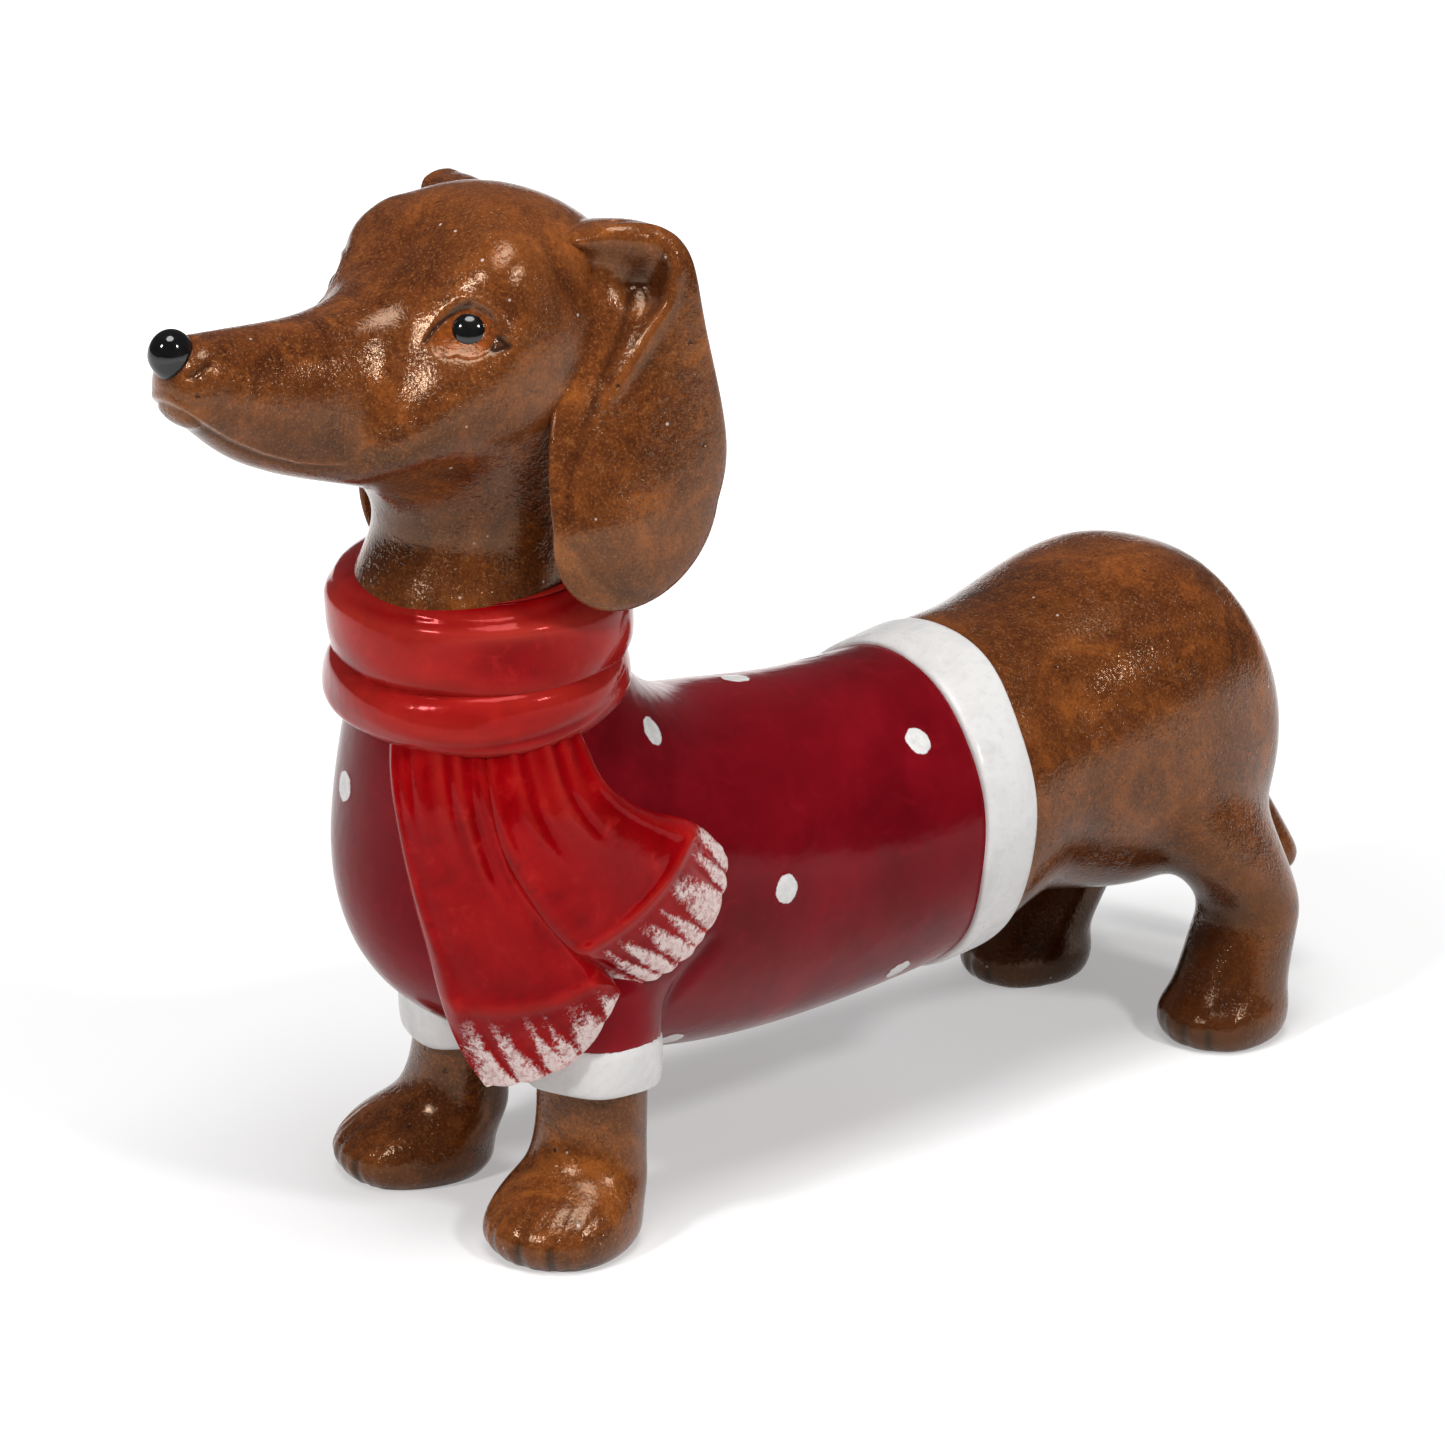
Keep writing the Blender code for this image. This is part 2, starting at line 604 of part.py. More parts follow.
def front_end_rows():
    """The end that hangs straight down: its tip stands free of the chest."""
    tip = (4.0, -44)
    return [
        scarf_row((0.75, -57), (0.51, 0.33, 0.05), 0.11),
        scarf_row((1.55, -52), (0.47, 0.35, 0.02), 0.10),
        scarf_row((2.45, -46), (0.48, 0.47, 0.06), 0.11),
        scarf_row((3.40, -41), (0.53, 0.62, 0.22), 0.13),
        scarf_row(tip, (0.38, 0.74, 0.40), 0.08, 0.71, (-0.03, 0.32, -0.44)),
        scarf_row(tip, (0.18, 0.88, 0.43), 0.06, 0.29, (0.17, 0.51, -1.0)),
    ]


def rear_end_rows():
    """The end that is swept back over the shoulder and lies on the front one."""
    return [
        scarf_row((0.65, -15), (0.14, 0.66, 0.07), 0.14),
        scarf_row((1.35, -13), (0.14, 0.74, 0.09), 0.16),
        scarf_row((2.10, -9), (0.10, 0.87, 0.22), 0.19),
        scarf_row((2.95, -2), (-0.01, 0.90, 0.42), 0.20),
        scarf_row((3.90, 1), (-0.06, 0.74, 0.66), 0.20),
        scarf_row((4.75, -3), (0.06, 0.70, 0.75), 0.21),
    ]


# Objects and finishes

def glaze(name, colour, roughness):
    material = bpy.data.materials.new(name)
    material.use_nodes = True
    shader = material.node_tree.nodes["Principled BSDF"]
    shader.inputs["Base Color"].default_value = (*colour, 1.0)
    shader.inputs["Roughness"].default_value = roughness
    shader.inputs["Metallic"].default_value = 0.0
    return material


def put(mesh, material, parent):
    obj = bpy.data.objects.new(mesh.name, mesh)
    bpy.context.scene.collection.objects.link(obj)
    obj.parent = parent
    if material:
        mesh.materials.append(material)
    return obj


def put_helper(mesh, parent):
    obj = put(mesh, None, parent)
    obj.hide_render = True
    obj.display_type = "WIRE"
    return obj


def apply_boolean(obj, other, operation):
    modifier = obj.modifiers.new(f"{operation.lower()} {other.name}", "BOOLEAN")
    modifier.operation = operation
    modifier.object = other


def cut(obj, *seats):
    for seat in seats:
        apply_boolean(obj, seat, "DIFFERENCE")


def build():
    for obj in list(bpy.data.objects):
        bpy.data.objects.remove(obj, do_unlink=True)
    figurine = bpy.data.objects.new("figurine", None)
    bpy.context.scene.collection.objects.link(figurine)
    brown = glaze("brown_glaze", (0.14, 0.05, 0.018), 0.22)
    dark_red = glaze("jumper_glaze", (0.16, 0.005, 0.012), 0.15)
    red = glaze("scarf_glaze", (0.45, 0.012, 0.01), 0.15)
    white = glaze("white_glaze", (0.80, 0.80, 0.79), 0.25)
    black = glaze("black_glaze", (0.008, 0.008, 0.009), 0.08)

    def piece(mesh, material):
        return put(mesh, material, figurine)

    def seat(mesh):
        return put_helper(grown(mesh), figurine)

    # Body castings
    jumper = piece(loft("jumper", jumper_rings(), 32), dark_red)
    jumper_seat = seat(jumper.data)
    left_sleeve = sleeve_mesh()
    sleeves = (left_sleeve, mirrored(left_sleeve, "right_sleeve"))
    sleeve_seats = [seat(mesh) for mesh in sleeves]
    for mesh in sleeves:
        apply_boolean(jumper, put_helper(mesh, figurine), "UNION")
    hindquarters = piece(loft("hindquarters", rump_rings(), 32), brown)
    rump_seat = seat(hindquarters.data)
    hem_seat = seat(loft("hem", hem_seat_rings(), 32))
    cut(piece(loft("hem_band", hem_band_rings(), 36), white), hem_seat)

    # Legs, cuffs and tail
    foreleg = foreleg_mesh()
    cuff = cuff_mesh()
    pairs = ((foreleg, cuff), (mirrored(foreleg, "right_foreleg"), mirrored(cuff, "right_cuff")))
    leg_seats = []
    for leg_part, cuff_part in pairs:
        leg_seat, cuff_seat = seat(leg_part), seat(cuff_part)
        leg_seats += [leg_seat, cuff_seat]
        cut(piece(leg_part, brown), jumper_seat)
        cut(piece(cuff_part, white), leg_seat, jumper_seat)
    left = hind_leg_mesh("left_hind_leg", LEFT_HIND_LEG_X, LEFT_HIND_LEG_Y)
    right = hind_leg_mesh("right_leg_shape", RIGHT_HIND_LEG_X, RIGHT_HIND_LEG_Y)
    cut(piece(left, brown), rump_seat)
    cut(piece(mirrored(right, "right_hind_leg"), brown), rump_seat)
    cut(piece(tail_mesh(), brown), rump_seat)

    # Head
    head = head_rows()
    head_rings = smooth(head) + dome(head[-1], (0, -MUZZLE_ROUND, 0))
    head_piece = piece(loft("head", head_rings, 32), brown)
    head_seat = seat(head_piece.data)
    nose_y, nose_z = head_point(MUZZLE_LENGTH + NOSE_AHEAD, MUZZLE_HEIGHT - NOSE_DROP)
    nose = piece(ball("nose", (0, nose_y, nose_z), NOSE_RADIUS), black)
    eye_x, eye_y, eye_z = head_side(EYE_AHEAD, EYE_DROP)
    eye = ball("left_eye", (eye_x - EYE_INSET, eye_y, eye_z), EYE_RADIUS)
    for part in (nose.data, eye, mirrored(eye, "right_eye")):
        if part is not nose.data:
            piece(part, black)
        cut(head_piece, seat(part))

    # Scarf
    lower = turn_mesh("scarf_lower_turn", -SCARF_LOWER_DROP, SCARF_LOWER_HEIGHT, 26)
    upper = turn_mesh("scarf_upper_turn", SCARF_UPPER_RISE, SCARF_UPPER_HEIGHT, 30)
    lower_seat, upper_seat = seat(lower), seat(upper)
    cut(piece(lower, red), jumper_seat, head_seat)
    cut(piece(upper, red), lower_seat, jumper_seat, head_seat)
    front_end = scarf_end_mesh("scarf_front_end", front_end_rows())
    front_seat = seat(scarf_end_mesh("scarf_front_end_plain", front_end_rows(), False))
    cut(piece(front_end, red), jumper_seat, sleeve_seats[0], leg_seats[1], leg_seats[0], lower_seat)
    rear_end = scarf_end_mesh("scarf_rear_end", rear_end_rows())
    cut(piece(rear_end, red), front_seat, jumper_seat, sleeve_seats[0], lower_seat)

    # Ears
    ear = ear_mesh()
    for part in (ear, mirrored(ear, "right_ear")):
        cut(piece(part, brown), head_seat, upper_seat)


build()
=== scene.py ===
import math

import bmesh
import bpy
import numpy as np
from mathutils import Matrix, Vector


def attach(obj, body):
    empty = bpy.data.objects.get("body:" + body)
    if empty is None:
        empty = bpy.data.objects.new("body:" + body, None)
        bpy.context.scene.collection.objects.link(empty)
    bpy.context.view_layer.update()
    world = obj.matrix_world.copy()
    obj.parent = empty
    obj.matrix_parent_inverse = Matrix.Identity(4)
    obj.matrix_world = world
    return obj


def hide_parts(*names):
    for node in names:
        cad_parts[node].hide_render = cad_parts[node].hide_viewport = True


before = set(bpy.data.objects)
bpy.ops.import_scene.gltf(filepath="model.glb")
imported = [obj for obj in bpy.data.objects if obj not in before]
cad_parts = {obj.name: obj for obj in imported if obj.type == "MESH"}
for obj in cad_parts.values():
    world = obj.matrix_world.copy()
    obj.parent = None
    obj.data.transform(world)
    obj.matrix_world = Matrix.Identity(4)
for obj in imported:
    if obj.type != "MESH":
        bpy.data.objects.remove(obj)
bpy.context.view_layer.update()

MM = 0.001


# Shapes. The dog faces -y and its left is +x. Lengths are in millimetres; only the meshes hold metres.

def section(centre, side, lift, square=2.0, sag=0.0):
    """An oval with half axes side and lift, as one row of numbers.

    square over 2 fills the oval's corners, and sag bends both ends of the side axis back.
    """
    return np.array([*centre, *side, *lift, square, sag], float)


def profile(back, front, half_width, square=2.0):
    """A section across the symmetry plane, between two (y, z) points of the side view."""
    centre = (0.0, (back[0] + front[0]) / 2, (back[1] + front[1]) / 2)
    lift = (0.0, (back[0] - front[0]) / 2, (back[1] - front[1]) / 2)
    return section(centre, (half_width, 0.0, 0.0), lift, square)


def spline(rows):
    """A natural cubic spline through the rows, as a function of the row number."""
    rows = np.array(rows)
    count = len(rows)
    band = 4 * np.eye(count - 2) + np.eye(count - 2, k=1) + np.eye(count - 2, k=-1)
    bend = np.zeros_like(rows)
    bend[1:-1] = np.linalg.solve(band, 6 * (rows[:-2] - 2 * rows[1:-1] + rows[2:]))

    def at(place):
        i = min(int(place), count - 2)
        b = place - i
        a = 1 - b
        return a * rows[i] + b * rows[i + 1] + ((a**3 - a) * bend[i] + (b**3 - b) * bend[i + 1]) / 6

    return at


def smooth(rows, steps):
    """Rings along a spline through the rows, with steps of them from row to row."""
    at = spline(rows)
    return [at(i / steps) for i in range((len(rows) - 1) * steps + 1)]


DOME_TURN = math.radians(87)  # short of a right angle, so that a small flat end is left to close


def dome(last, reach, steps=10):
    """Rings that round off a loft beyond its last section, over the vector reach."""
    rings = []
    for i in range(1, steps + 1):
        turn = DOME_TURN * i / steps
        ring = last.copy()
        ring[0:3] += np.array(reach) * math.sin(turn)
        ring[3:9] *= math.cos(turn)
        rings.append(ring)
    return rings


def oval_points(rows, angles):
    """One point of each row's oval; rows and angles have the same length."""
    centre, side, lift = rows[:, 0:3], rows[:, 3:6], rows[:, 6:9]
    square, sag = rows[:, 9], rows[:, 10]
    across, along = np.cos(angles), np.sin(angles)
    across = np.sign(across) * np.abs(across) ** (2 / square)
    along = np.sign(along) * np.abs(along) ** (2 / square)
    out = lift / np.linalg.norm(lift, axis=1)[:, None]
    return centre + side * across[:, None] + lift * along[:, None] - out * (sag * across**2)[:, None]


SEAM_GAP = 0.00001 * MM  # points this close are one point, where a loft closes round


def loft(rings, points, relief=None):
    """A closed skin through the rings: a grid that is rolled up, with a flat face on each end.

    relief(share along, angle) gives a height that is added along the section's lift. The share and
    the angle stay with each point, as "along" and "angle".
    """
    bm = bmesh.new()
    bmesh.ops.create_grid(bm, x_segments=points, y_segments=len(rings) - 1, size=1.0)
    flat = np.array([vert.co[:2] for vert in bm.verts])
    angles = math.pi * (flat[:, 0] + 1)
    share = (flat[:, 1] + 1) / 2
    rows = np.array(rings)[np.rint(share * (len(rings) - 1)).astype(int)]
    places = oval_points(rows, angles)
    if relief:
        lift = rows[:, 6:9] / np.linalg.norm(rows[:, 6:9], axis=1)[:, None]
        places = places + lift * relief(share, angles)[:, None]
    keep_along = bm.verts.layers.float.new("along")
    keep_angle = bm.verts.layers.float.new("angle")
    for vert, place, part, angle in zip(bm.verts, places, share, angles):
        vert.co = Vector(place) * MM
        vert[keep_along] = part
        vert[keep_angle] = angle
    bmesh.ops.remove_doubles(bm, verts=bm.verts, dist=SEAM_GAP)
    rim = [edge for edge in bm.edges if edge.is_boundary]
    bmesh.ops.holes_fill(bm, edges=rim, sides=0)
    bmesh.ops.recalc_face_normals(bm, faces=bm.faces)
    return bm


def finished(name, bm):
    mesh = bpy.data.meshes.new(name)
    bm.to_mesh(mesh)
    bm.free()
    mesh.shade_smooth()
    return mesh


def mirrored(mesh, name):
    """A copy of the mesh on the dog's other side."""
    bm = bmesh.new()
    bm.from_mesh(mesh)
    bmesh.ops.scale(bm, verts=bm.verts, vec=(-1, 1, 1))
    bmesh.ops.recalc_face_normals(bm, faces=bm.faces)
    return finished(name, bm)


def cast(name, shapes, grain):
    """The shapes run together into one skin, as slip fills a mould, with faces of size grain."""
    bm = bmesh.new()
    for shape in shapes:
        mesh = finished("shape", shape)
        bm.from_mesh(mesh)
        bpy.data.meshes.remove(mesh)
    obj = bpy.data.objects.new(name, finished(name, bm))
    bpy.context.scene.collection.objects.link(obj)
    remesh = obj.modifiers.new("slip", "REMESH")
    remesh.mode = "VOXEL"
    remesh.voxel_size = grain * MM
    graph = bpy.context.evaluated_depsgraph_get()
    mesh = bpy.data.meshes.new_from_object(obj.evaluated_get(graph))
    first = obj.data
    bpy.data.objects.remove(obj)
    bpy.data.meshes.remove(first)
    mesh.name = name
    mesh.shade_smooth()
    return mesh


# Sculpting

def points_of(mesh):
    """The mesh's points in millimetres."""
    places = np.empty(len(mesh.vertices) * 3, np.float32)
    mesh.vertices.foreach_get("co", places)
    return places.reshape(-1, 3).astype(float) / MM


def move_points(mesh, places):
    mesh.vertices.foreach_set("co", (places * MM).astype(np.float32).ravel())
    mesh.update()


def normals_of(mesh):
    normals = np.empty(len(mesh.vertices) * 3, np.float32)
    mesh.vertex_normals.foreach_get("vector", normals)
    return normals.reshape(-1, 3).astype(float)


def neighbours_of(mesh):
    """The start and the other end of every edge, both ways round, and each point's edge count."""
    ends = np.empty(len(mesh.edges) * 2, np.int32)
    mesh.edges.foreach_get("vertices", ends)
    ends = ends.reshape(-1, 2)
    start = np.concatenate([ends[:, 0], ends[:, 1]])
    other = np.concatenate([ends[:, 1], ends[:, 0]])
    return start, other, np.maximum(np.bincount(start, minlength=len(mesh.vertices)), 1)


def averaged(values, links):
    """The mean of each point's neighbours."""
    start, other, count = links
    if values.ndim == 1:
        return np.bincount(start, values[other], len(count)) / count
    columns = [np.bincount(start, values[other, i], len(count)) / count for i in range(values.shape[1])]
    return np.stack(columns, axis=1)


SPONGE = 0.6  # how far one wipe moves a point towards its neighbours


def relax(mesh, rounds, weight=1.0):
    """Smooths the skin like a wet sponge, by weight at each point."""
    links = neighbours_of(mesh)
    places = points_of(mesh)
    weight = np.broadcast_to(np.asarray(weight, float), (len(places),))[:, None]
    for _ in range(rounds):
        places = places + SPONGE * weight * (averaged(places, links) - places)
    move_points(mesh, places)


def on_left(places):
    """The points with the dog's right side folded onto its left."""
    return np.column_stack([np.abs(places[:, 0]), places[:, 1:]])


def mirror_points(mesh):
    return on_left(points_of(mesh))


def raise_skin(mesh, height):
    """Moves each point out along its normal, or in where the height is below nought."""
    move_points(mesh, points_of(mesh) + normals_of(mesh) * height[:, None])


def press_flat(mesh, centre, out, radius):
    """Presses a flat facet with the normal out into both sides of a skin."""
    hand = np.where(points_of(mesh)[:, 0] < 0, -1, 1)
    side = mirror_points(mesh)
    share = bump(np.linalg.norm(side - centre, axis=1), radius)
    side -= out * (((side - centre) @ out) * share)[:, None]
    side[:, 0] *= hand
    move_points(mesh, side)


def refine(mesh, chosen):
    """Halves the faces whose corners are all chosen."""
    bm = bmesh.new()
    bm.from_mesh(mesh)
    bm.verts.ensure_lookup_table()
    edges = [edge for edge in bm.edges if chosen[edge.verts[0].index] and chosen[edge.verts[1].index]]
    bmesh.ops.subdivide_edges(bm, edges=edges, cuts=1, use_grid_fill=True, smooth=0.0)
    bm.to_mesh(mesh)
    bm.free()
    mesh.shade_smooth()


def bump(distance, width):
    """A bell that is one at no distance and fades out over the width."""
    return np.exp(-((distance / width) ** 2))


def ease(value, low, high):
    """A soft step from nought at low to one at high; it falls where high is the smaller one."""
    t = np.clip((value - low) / (high - low), 0, 1)
    return t * t * (3 - 2 * t)


def from_line(places, line):
    """Distance of each point from a line of points, and the share along it."""
    line = np.array(line, float)
    best = np.full(len(places), np.inf)
    share = np.zeros(len(places))
    for i, (a, b) in enumerate(zip(line, line[1:])):
        along = np.clip(((places - a) @ (b - a)) / ((b - a) @ (b - a)), 0, 1)
        gap = np.linalg.norm(places - a - along[:, None] * (b - a), axis=1)
        closer = gap < best
        best[closer] = gap[closer]
        share[closer] = (i + along[closer]) / (len(line) - 1)
    return best, share


def note(mesh, name, values):
    """Keeps a value at each point, for the glaze to read."""
    layer = mesh.attributes.get(name) or mesh.attributes.new(name, "FLOAT", "POINT")
    layer.data.foreach_set("value", values.astype(np.float32))


def pool_glaze(mesh, rounds, depth):
    """Notes where glaze pools in hollows and where it runs thin over edges.

    A hollow or an edge counts in full where it lies depth away from the skin relaxed by rounds.
    """
    links = neighbours_of(mesh)
    places = points_of(mesh)
    spread = places
    for _ in range(rounds):
        spread = averaged(spread, links)
    hollow = np.einsum("ij,ij->i", spread - places, normals_of(mesh))
    for _ in range(3):
        hollow = averaged(hollow, links)
    note(mesh, "pool", np.clip(hollow / depth, 0, 1))
    note(mesh, "thin", np.clip(-hollow / depth, 0, 1))


# Body castings

BODY = [
    profile((-37, 92), (-73, 92), 18),
    profile((-33, 87), (-76, 79.1), 20.5),
    profile((-28.5, 82), (-77.8, 65.9), 23),
    profile((-22.5, 78), (-77.5, 53), 25),
    profile((-15, 75.4), (-72, 40.6), 26.5),
    profile((-5.6, 74.2), (-59.2, 30.6), 27),
    profile((4.5, 72.9), (-38, 22.4), 27),
    profile((16, 72.2), (-8.1, 18.5), 26.5),
    profile((26.5, 72.3), (25.5, 20.4), 26.07),
    profile((32.0, 72.6), (31.0, 21.8), 25),
    profile((37.5, 74.2), (36.5, 22.0), 25.5),
    profile((48.5, 75.6), (48.0, 26.0), 25),
    profile((61.8, 78.7), (61.8, 24.4), 26, 2.2),
    profile((75.5, 80.5), (76, 24), 26.2, 2.4),
    profile((85.6, 78.2), (88.4, 29), 24.6, 2.2),
]
HEM_ROW = 9  # the jumper ends and the rump starts here
RUMP_ROUND = (0, 12.4, -9)
THIGH_HEIGHT = 41
TAIL = [  # x, y, z of the tail's middle
    (0, 84.0, 66.0),
    (0, 90.5, 60.0),
    (0, 96.4, 51.5),
    (1.5, 98.4, 41.0),
    (4.5, 102.4, 30.5),
    (7.5, 106.6, 21.0),
]
TAIL_RADIUS = 5.6
TAIL_TAPER = 1.6
TAIL_ROUND = (0.5, 0, -4)
TAIL_ROOT = (0, 92, 63)
LEG_SQUARE = 2.2
PAW = [  # height, and shares of the forward shift, the width and the length
    (9.24, 0.55, 0.90, 0.87),
    (5.46, 0.96, 1.0, 1.0),
    (2.1, 1.02, 0.98, 0.99),
    (0.0, 1.0, 0.86, 0.87),
]
FORE_PAW = (11.3, 12.7, 8.0)  # half width, half length and forward shift
HIND_PAW = (9.9, 11.3, 4.5)
FORE_TURN = math.radians(18)
HIND_TURN = math.radians(10)
FORE_X, FORE_Y = 16.5, -47.4
LEFT_HIND = (22.4, 84.3)  # x and y
RIGHT_HIND = (17.0, 77.4)
RIGHT_THIGH_BACK = 6
TOE_PITCH = 27  # degrees round the paw
TOE_GAPS = (-TOE_PITCH, 0, TOE_PITCH)
TOE_ROUNDING = 0.5
GROOVE_WIDTH = 5.5  # degrees round the paw
GROOVE_DEPTH = 1.25
GROOVE_START = 3.6  # rows above the sole
GROOVE_FULL = 2.4


def leg_row(x, y, z, forward, half_width, half_length, toe_out):
    """A level section of a left leg, moved forward along the turned-out paw."""
    ahead = np.array([math.sin(toe_out), -math.cos(toe_out), 0.0])
    side = np.array([math.cos(toe_out), math.sin(toe_out), 0.0])
    centre = np.array([x, y, z]) + ahead * forward
    return section(centre, side * half_width, ahead * half_length, LEG_SQUARE)


def paw_rows(x, y, half_width, half_length, forward, toe_out):
    """The sections of a left paw, down to its flat sole."""
    return [
        leg_row(x, y, height, forward * shift, half_width * width, half_length * length, toe_out)
        for height, shift, width, length in PAW
    ]


def foreleg_rows():
    rows = [
        leg_row(FORE_X, FORE_Y, 32.7, 0, 8.9, 7.2, FORE_TURN),
        leg_row(FORE_X, FORE_Y, 21.6, 0, 8.7, 7.1, FORE_TURN),
        leg_row(FORE_X, FORE_Y, 13.0, 1.25, 8.9, 8.4, FORE_TURN),
    ]
    return rows + paw_rows(FORE_X, FORE_Y, *FORE_PAW, FORE_TURN)


def hind_leg_rows(x, y, flare):
    """A left hind leg that stands at x, y; flare sets the thigh further back."""
    rows = [
        leg_row(x - 9.4, y - 13, 58, 0, 8, 12, HIND_TURN),
        leg_row(x - 6.2, y - 8.6 + flare, 46, 0, 9, 12.6, HIND_TURN),
        leg_row(x - 2.8, y - 5.4 + flare, 35, 0, 9.2, 12.6, HIND_TURN),
        leg_row(x - 0.2, y + 0.6 + 0.9 * flare, 24, 0, 8.5, 8.6, HIND_TURN),
        leg_row(x, y + 0.6 + 0.5 * flare, 17.2, 0, 8.5, 8.6, HIND_TURN),
    ]
    return rows + paw_rows(x, y, *HIND_PAW, HIND_TURN)


def tail_rows():
    """Round sections of the tail, which tapers and hangs down."""
    rows = []
    for i, centre in enumerate(TAIL):
        share = i / (len(TAIL) - 1)
        radius = TAIL_RADIUS - TAIL_TAPER * share
        tilt = math.radians(50 + 35 * share)
        lift = (0, radius * math.sin(tilt), radius * math.cos(tilt))
        rows.append(section(centre, (radius, 0, 0), lift))
    return rows


def other_side(rings):
    """The same rings on the dog's right."""
    turn = np.ones_like(rings[0])
    turn[[0, 3, 6]] = -1  # x of the centre and of both axes
    return [ring * turn for ring in rings]


def toe_grooves(rows):
    """Three grooves down the front of a paw, which leave four rounded toes; rows are the leg's own."""
    sole = len(rows) - 1
    start = (sole - GROOVE_START) / sole
    full = (sole - GROOVE_FULL) / sole

    def relief(share, angle):
        off = np.degrees(angle) - 90
        groove = sum(bump(off - gap, GROOVE_WIDTH) for gap in TOE_GAPS)
        toes = TOE_ROUNDING * np.cos(np.radians(off) * 360 / TOE_PITCH) * ease(np.abs(off), 52, 36)
        return (toes - GROOVE_DEPTH * groove) * ease(share, start, full)

    return relief


def leg_loft(rows, rings):
    return loft(rings, points=168, relief=toe_grooves(rows))


def make_foreleg():
    rows = foreleg_rows()
    mesh = finished("left_foreleg", leg_loft(rows, smooth(rows, steps=20)))
    relax(mesh, 3)
    return mesh


def make_hindquarters():
    """Rump, hind legs and tail in one skin, softened on the thighs and at the tail's root."""
    steps = 12
    rump = smooth(BODY, steps)[HEM_ROW * steps :]
    left = hind_leg_rows(*LEFT_HIND, 0)
    right = hind_leg_rows(*RIGHT_HIND, RIGHT_THIGH_BACK)
    tail = tail_rows()
    shapes = [
        loft(rump + dome(rump[-1], RUMP_ROUND, steps=14), points=150),
        leg_loft(left, smooth(left, steps=16)),
        leg_loft(right, other_side(smooth(right, steps=16))),
        loft(smooth(tail, steps=10) + dome(tail[-1], TAIL_ROUND), points=48),
    ]
    mesh = cast("hindquarters", shapes, grain=0.62)
    places = points_of(mesh)
    thigh = bump(places[:, 2] - THIGH_HEIGHT, 13) * ease(places[:, 1], 50, 60)
    root = bump(np.linalg.norm(places - TAIL_ROOT, axis=1), 11)
    soft = np.clip(thigh + root, 0, 1) * ease(places[:, 1], 40, 50)
    relax(mesh, 110, weight=soft)
    relax(mesh, 3)
    return mesh


def shade_hind_legs(mesh):
    """Notes painted shade low on the hind legs, which is darkest in front."""
    places = points_of(mesh)
    low = ease(places[:, 2], 42, 20)
    note(mesh, "line", low * (0.45 + 0.4 * ease(places[:, 1], 84, 76)))


SLEEVE_X, SLEEVE_Y = 17, -48
SLEEVE_RADIUS = 13
LEFT_SLEEVE_END = 32.2
RIGHT_SLEEVE_END = 30.0
RIGHT_CUFF_DROP = 2.2
SLEEVE_CREASE = [(26.5, -32, 45), (24.5, -36.5, 39), (22.5, -38.5, 34.5)]
SLEEVE_FOLD = [(25.5, -56, 47), (27.5, -46, 43), (26.5, -37, 42.5)]


def sleeve_rings(end):
    """A left sleeve from inside the shoulder down to the height end."""
    rows = [
        leg_row(13.5, -45.4, 51, 0, 11.4, 11.2, FORE_TURN),
        leg_row(16.0, FORE_Y, 41.1, 0, 11.6, 10.6, FORE_TURN),
        leg_row(FORE_X, FORE_Y, end, 0, 10.8, 9.1, FORE_TURN),
    ]
    return smooth(rows, steps=14)


def make_jumper():
    """Body and sleeves in one skin, with softened armpits and a crease and a fold in each sleeve."""
    steps = 14
    shapes = [
        loft(smooth(BODY, steps)[: HEM_ROW * steps + 1], points=200),
        loft(sleeve_rings(LEFT_SLEEVE_END), points=100),
        loft(other_side(sleeve_rings(RIGHT_SLEEVE_END)), points=100),
    ]
    mesh = cast("jumper", shapes, grain=0.72)
    places = points_of(mesh)
    from_sleeve = np.hypot(np.abs(places[:, 0]) - SLEEVE_X, places[:, 1] - SLEEVE_Y)
    armpit = np.clip(1.3 - np.abs(from_sleeve - SLEEVE_RADIUS) / 8, 0, 1)
    relax(mesh, 40, armpit * ease(places[:, 2], 34, 37) * ease(places[:, 2], 60, 48))
    relax(mesh, 12, ease(places[:, 2], 32.4, 35) * ease(places[:, 1], 27.5, 25))
    side = mirror_points(mesh)
    crease, _ = from_line(side, SLEEVE_CREASE)
    fold, _ = from_line(side, SLEEVE_FOLD)
    raise_skin(mesh, -0.7 * bump(crease, 1.6) - 0.35 * bump(fold, 2.2))
    return mesh


def hoop(at, count, points, relief=None):
    """A closed band; at(turn) gives its cross-section at each turn round the body."""
    rings = [at(2 * math.pi * i / count) for i in range(count)]
    return loft(rings + rings[:1], points, relief)


def oval_edge(row, turn):
    """A point on an oval and the outward normal in the oval's plane."""
    side, lift = row[3:6], row[6:9]
    point = oval_points(row[None], np.array([turn]))[0]
    out = side / (side @ side) * math.cos(turn) + lift / (lift @ lift) * math.sin(turn)
    return point, out / np.linalg.norm(out)


HEM_BACK = (32.0, 72.7)
HEM_BELLY = (31.0, 20.8)
HEM_SIDE = 25.8
HEM_REACH = 5.3
HEM_RISE = 0.9
HEM_BOW = 2.6
HEM_HALF_THICKNESS = 1.25


def hem_row(offset, rise):
    """The oval that the hem band follows, offset along the body and raised at its back."""
    back = (HEM_BACK[0] + offset, HEM_BACK[1] + rise)
    belly = (HEM_BELLY[0] + offset, HEM_BELLY[1] + max(rise, 0))
    return profile(back, belly, HEM_SIDE - 0.3 * rise)


